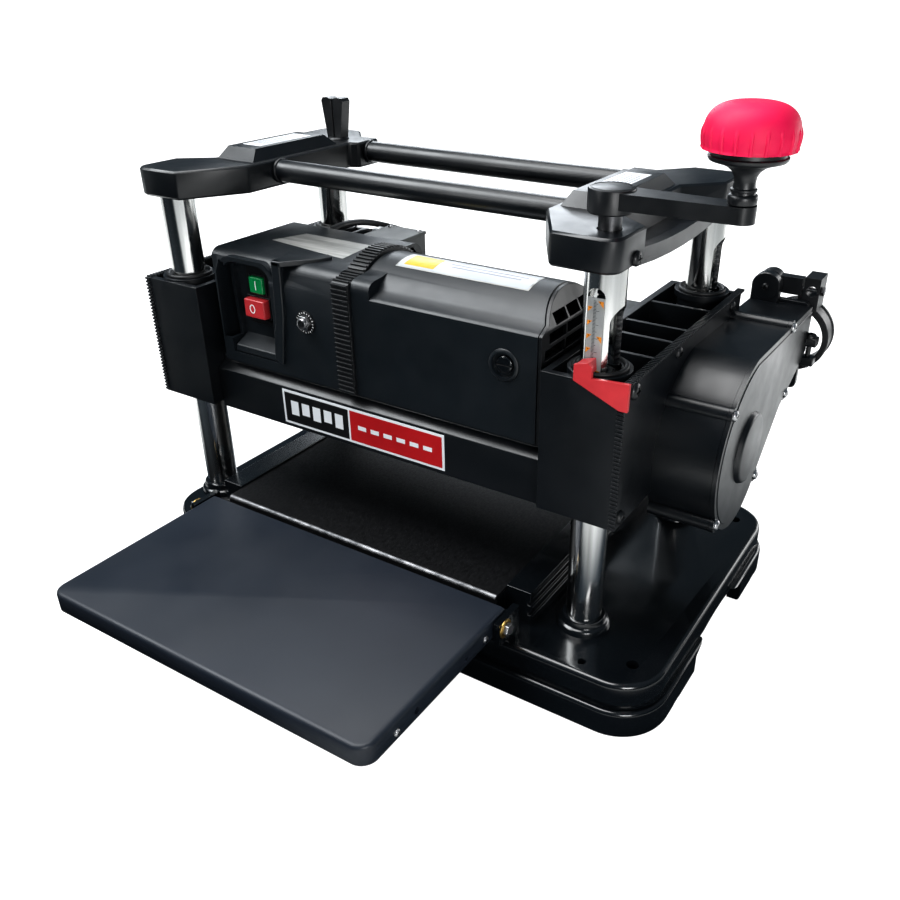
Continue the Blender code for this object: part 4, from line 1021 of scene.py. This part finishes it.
def breaker_ring(node, front, centre):
    """The breaker's washer with its marks, its nut and its collar."""
    washer = cut(rod("y", centre, 10.4, front - 0.9, front + 0.5, 64), rod("y", centre, 4.2, *around(front, 5)))
    show(washer, "breaker_washer", node, "ink", 0.25)
    ticks, count = [], 20
    for i in range(count):
        angle = 2 * math.pi * i / count
        along = Vector((math.cos(angle), math.sin(angle)))
        across = Vector((-math.sin(angle), math.cos(angle)))
        near, far = Vector(centre) + along * 7.9, Vector(centre) + along * (9.6 if i % 2 else 9.1)
        ticks.append(prism([tuple(near - across * 0.25), tuple(far - across * 0.4), tuple(far + across * 0.4),
                            tuple(near + across * 0.25)], "y", front - 1.0, front - 0.5))
    show(group(ticks), "breaker_marks", node, "print_white")
    nut = cut(rod("y", centre, 7.0, front - 3.8, front - 0.8, 6), rod("y", centre, 4.2, front - 9, front + 5))
    show(nut, "breaker_nut", node, "bright_steel", 0.4)
    collar = ring("y", centre, 3.5, 4.9, front - 6.4, front - 0.5, 0.4, 48)
    show(collar, "breaker_collar", node, "bright_steel", smooth=50)


def push_buttons():
    for node in (*BUTTONS, "reset_button"):
        refined(node, 0.5)
    x, y, z = span("start_button")
    mid, level = sum(x) / 2, sum(z) / 2
    stroke = box(around(mid, 0.6), (y[0] - 0.15, y[0] + 0.3), around(level, 4.2))
    show(stroke, "start_symbol", "start_button", "print_white")
    x, y, z = span("stop_button")
    mid, level = sum(x) / 2 - 2, sum(z) / 2
    oval = [(mid + 3.3 * math.cos(a), level + 4.2 * math.sin(a)) for a in [2 * math.pi * i / 48 for i in range(48)]]
    hole = [(mid + (p[0] - mid) * 0.7, level + (p[1] - level) * 0.76) for p in oval]
    symbol = cut(prism(oval, "y", y[0] - 0.15, y[0] + 0.3), prism(hole, "y", *around(y[0], 5)))
    show(symbol, "stop_symbol", "stop_button", "print_white")


# ---- fan, clamp and pointer -----------------------------------------------------------------------

def scroll(grow, steps=72):
    """The fan housing's scroll and its duct as (y, z)."""
    axis = middle("cutterhead")[1:]
    low, high = grown(DUCT_OPENING, 3 + grow)
    points = []
    for i in range(steps + 1):
        turn = i / steps
        radius = 57 + 27 * turn ** 1.3 + grow
        angle = math.radians(-45 - 225 * turn)
        points.append((axis[0] + radius * math.cos(angle), axis[1] + radius * math.sin(angle)))
    return points + [(DUCT_END, high), (DUCT_END, low), (103, 190 - grow)]


def fan():
    """The fan's scroll and its duct, the outlet's flange, and the post that carries the hose clamp."""
    node = "fan_housing"
    back, face = span(node)[0]
    body = join(prism(scroll(0), "x", back, face), *[rod("x", post, 6.2, back + 1, face, 40) for post in LID_POSTS])
    body = cut(body, prism(scroll(-3), "x", back + 3, face + 10),
               rod("x", middle("cutterhead")[1:], 9, back - 5, back + 10, 32),
               box((back + 4, face + 10), around(DUCT_END, 20), DUCT_OPENING))
    show(body, "fan_scroll", node, edge=0.8, smooth=35, instead=True)
    flange = prism(rounded((back + 1, face + 0.5), (180, 265), 5), "z", -6.2, 0)
    flange.data.transform(Matrix.Translation((0, DUCT_END, 0)) @ Matrix.Rotation(math.radians(90), 4, "X"))
    flange = cut(flange, box((back + 4, face - 1), around(DUCT_END, 20), DUCT_OPENING))
    show(flange, "duct_flange", node, edge=0.8)
    eye = turned(broken(163.4, 174, 13, 0.8), "y", CLAMP_PIVOT)
    neck = box(around(CLAMP_PIVOT[0], 12.6), (163.8, 173.6), (260, CLAMP_PIVOT[1]))
    show(join(eye, neck, rod("y", CLAMP_PIVOT, 3.5, 170, 190, 32)), "clamp_post", node, edge=0.4)
    show(pan_head("y", CLAMP_PIVOT, 163.4, 3.2, -1), "clamp_post_rivet", node, "satin_black", smooth=50)
    latch(face)


def latch(face):
    """Two lugs on the side of the outlet's flange, with an upright screw through them."""
    node = "fan_housing"
    place = (face + 7, 170)
    lugs = [box((face - 1, face + 14), (164, 175.6), (low, low + 8)) for low in (207, 226)]
    show(group(lugs), "latch_lugs", node, edge=1.2)
    show(rod("z", place, 2.4, 204, 235, 20), "latch_screw_shank", node, "satin_black", smooth=60)
    show(pan_head("z", place, 234, 5.4, 1), "latch_screw", node, "satin_black", smooth=50)


def fan_lid():
    node = "fan_cover"
    back = span(node)[0][0]
    seat = back + 3.5
    plate = join(prism(scroll(0.6), "x", back, seat), *[rod("x", post, 6.6, back, seat, 40) for post in LID_POSTS])
    show(plate, "lid_plate", node, edge=0.9, smooth=35, instead=True)
    show(prism(scroll(-4.2), "x", seat - 0.5, seat + 0.7), "lid_panel", node, edge=0.5, smooth=35)
    boss = [(0, 31.5), (0.8, 30.6), (3.4, 29.6), (4.3, 28.6), (4.8, 26.6), (4.8, 1)]
    axis = middle("cutterhead")
    show(turned(raised(seat, boss), "x", (axis[1], axis[2] + 7), 96), "lid_boss", node, smooth=45)
    screws("lid_screws", node, [("x", post, seat, 4.5, 1) for post in LID_POSTS])


def clamp():
    """The dust hose's band, with its arm, its lug and the bolt through them."""
    node = "hose_clamp"
    y = span(node)[1]
    pivot = CLAMP_PIVOT
    band = turned([(y[0], 32.4), (y[0] + 0.7, 33.1), (y[0] + 3.2, 33.1), (y[0] + 4, 32), (y[1] - 4, 32),
                   (y[1] - 3.2, 33.1), (y[1] - 0.7, 33.1), (y[1], 32.4)], "y", CLAMP_CENTRE, 96)
    arm = join(rod("y", pivot, 12, y[0], y[0] + 12, 64),
               box((pivot[0], 282.6), (y[0] + 1, y[0] + 11), around(pivot[1], 8)))
    lug = box((284.6, 299), grown(y, -0.2), (250, 286))
    body = join(band, lug, arm, box((280, 287), (y[0] + 2, y[0] + 10), (258, 274)))
    body = cut(body, rod("y", CLAMP_CENTRE, 27.5, *grown(y, 5), 96), rod("y", pivot, 4, y[0] - 5, y[0] + 30, 32),
               rod("y", (291.8, 273.5), 5, *grown(y, 5), 40))
    show(body, "clamp_band", node, edge=0.9, smooth=45, instead=True)
    bolt = (y[0] + 6.5, 273.5)
    show(rod("x", bolt, 1.9, 282, 301.5, 24), "clamp_bolt", node, "bright_steel", smooth=60)
    show(rod("x", bolt, 4.2, 299.2, 302.4, 6), "clamp_nut", node, "dark_steel", edge=0.4)


def pointer():
    node = "height_pointer"
    refined(node, 0.9)
    _, y, z = span(node)
    outer = span("right_end_box")[0][1]
    head = pan_head("x", (y[1] + 6.5, z[0] + 8.5), outer, 6.6, 1, 3.6)
    show(head, "pointer_screw", node, "satin_black", smooth=50)


# ---- box on the hood, cord ------------------------------------------------------------------------

def terminal():
    node = "terminal_box"
    refined(node, 1.4, "terminal_grey")
    x, y, z = span(node)
    lid = box(grown(x, 0.7), grown(y, 0.7), (z[1] - 3.0, z[1] + 0.4))
    show(lid, "terminal_lid", node, "terminal_grey", 0.9)
    corners = [(x[i] + d, y[j] + e) for i, d in ((0, 5), (1, -5)) for j, e in ((0, 5), (1, -5))]
    screws("terminal_screws", node, [("z", corner, z[1] + 0.4, 2.6, 1) for corner in corners])


def smooth_line(stations, step):
    """A smooth curve through the stations (a Catmull-Rom spline), sampled about every step."""
    knots = [Vector(s) for s in stations]
    padded = [2 * knots[0] - knots[1]] + knots + [2 * knots[-1] - knots[-2]]
    route = []
    for a, b, c, d in zip(padded, padded[1:], padded[2:], padded[3:]):
        count = max(2, round((c - b).length / step))
        for i in range(count):
            t = i / count
            route.append(0.5 * (2 * b + (c - a) * t + (2 * a - 5 * b + 4 * c - d) * t ** 2
                                + (3 * b - a - 3 * c + d) * t ** 3))
    return route + [knots[-1]]


def ease(t):
    """A smooth step from 0 to 1 while t goes from 0 to 1."""
    t = min(1.0, max(0.0, t))
    return t * t * (3 - 2 * t)


def hank_point(turn, fold):
    """A place on one turn of the hank, as (x, y): up the right side, round, and back down the left."""
    x, y, _ = span("cord_hank")
    mid, near, far = sum(x) / 2, y[0] + (x[1] - x[0]) / 2, y[1] - (x[1] - x[0]) / 2
    turn = turn % 1.0
    if turn < 0.25:
        return (mid + fold, near + (far - near) * turn * 4)
    if turn < 0.5:
        angle = math.pi * (turn - 0.25) * 4
        return (mid + fold * math.cos(angle), far + fold * math.sin(angle))
    if turn < 0.75:
        return (mid - fold, far - (far - near) * (turn - 0.5) * 4)
    angle = math.pi * (turn - 0.75) * 4
    return (mid - fold * math.cos(angle), near - fold * math.sin(angle))


def hank_route(thick):
    """Down the inner column of turns, across at the bottom, and up the outer one."""
    x, _, z = span("cord_hank")
    outer = (x[1] - x[0]) / 2 - thick / 2
    inner = outer - thick * 1.01
    top, drops, steps = z[1] - thick / 2, 3, 96    # the top turn's height, layers below it, points in a turn
    turns_down, turns_up = 3.22, 3.61
    route = []
    for i in range(int(steps * turns_down) + 1):
        turn = 0.9 + i / steps
        drop = sum(ease((turn - 1.25 - k) * 4) for k in range(drops)) - 0.4 * (1 - ease((turn - 0.9) * 6))
        route.append(Vector((*hank_point(turn, inner), top - thick * drop)))
    for i in range(13):
        fold = inner + (outer - inner) * ease(i / 12)
        route.append(Vector((*hank_point(4.125 + 0.125 * i / 12, fold), top - thick * drops)))
    for i in range(1, int(steps * turns_up) + 1):
        turn = 4.25 + i / steps
        rise = sum(ease((turn - 5 - k) * 8) for k in range(drops))
        route.append(Vector((*hank_point(turn, outer), top - thick * (drops - rise))))
    return route


def cord():
    """The mains cord: a loop out of the gland, the hank, and a tail into the plug."""
    thick = CORD_THICKNESS
    coil = hank_route(thick)
    last = coil[-1]
    plug = span("cord_plug")
    relief = (plug[0][0], 21.5, 269.5)
    tail = [tuple(last), (last.x + 7, last.y - 0.4, last.z - 0.2), (-138, 16.6, last.z - 1.6),
            (-131.5, 17.6, 276.5), (-125.5, 19.6, 272.0), (relief[0] + 1, *relief[1:]), (relief[0] + 6, *relief[1:])]
    route = smooth_line(CORD_LOOP, 3.5)[:-1] + coil[:-1] + smooth_line(tail, 3.0)
    data = bpy.data.curves.new("cord", "CURVE")
    data.dimensions = "3D"
    data.bevel_depth = (thick / 2) * MM
    data.bevel_resolution = 3
    data.use_fill_caps = True
    line = data.splines.new("POLY")
    line.points.add(len(route) - 1)
    for point, place in zip(line.points, route):
        point.co = (*(place * MM), 1)
    line.use_smooth = True
    data.materials.append(FINISH["black_rubber"])
    item = placed("mains_cord", data)
    length = sum((b - a).length for a, b in zip(route, route[1:])) * MM
    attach(item, BODY["cord_tube"])
    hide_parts("cord_tube")
    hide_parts("cord_hank")


def clear_film(name):
    made, tree, shader = shader_of(name)
    fill(shader, Base_Color=(0.8, 0.84, 0.86, 1))
    tree.links.new(ranged(tree, noise(tree, 90.0), 0.18, 0.4), shader.inputs["Roughness"])
    tree.links.new(ranged(tree, noise(tree, 160.0, 4.0), 0.25, 0.6), shader.inputs["Alpha"])
    bump(tree, shader, noise(tree, 260.0, 3.0), 0.5, 0.0012)
    return made


def cord_wrap():
    """A clear plastic tie round the hank's rear folds."""
    x, y, z = span("cord_hank")
    low, high = z[0] - 0.1, z[1] + 2.2
    outer = rounded((y[1] - 16.5, y[1] + 1.2), (low, high), 4)
    inner = rounded((y[1] - 15.9, y[1] + 0.6), (low + 0.6, high - 0.6), 3.4)
    mid = sum(x) / 2
    band = cut(prism(outer, "x", *around(mid, 7)), prism(inner, "x", *around(mid, 30)))
    item = show(band, "cord_tie", "cord_hank", smooth=50)
    item.data.materials[0] = clear_film("clear_film")


# ---- the whole scene ------------------------------------------------------------------------------

def plain_nodes():
    for node, edge in ROUNDED_ONLY.items():
        refined(node, edge)


base()
bed()
for label, side in TABLES.items():
    table(label, side)
for label in TABLES:
    table_hinge(label)
for build in (columns, thickness_scale, lead_screws, brackets, bars, crank, knob, lever, end_boxes, beam, motor,
              rotor, ribbed_band, vent, housing, push_buttons, fan, fan_lid, clamp, pointer, terminal, plain_nodes,
              cord, cord_wrap, camera, studio, floor):
    build()
bpy.context.scene.view_settings.view_transform = "Standard"
bpy.context.scene.view_settings.look = "Medium High Contrast"

# the CAD nodes that stay as they are
for node, item in NODES.items():
    item.data.materials.clear()
    item.data.materials.append(FINISH[SLOT[node]])
    item.data.shade_smooth()
    item.data.set_sharp_from_angle(angle=math.radians(35))
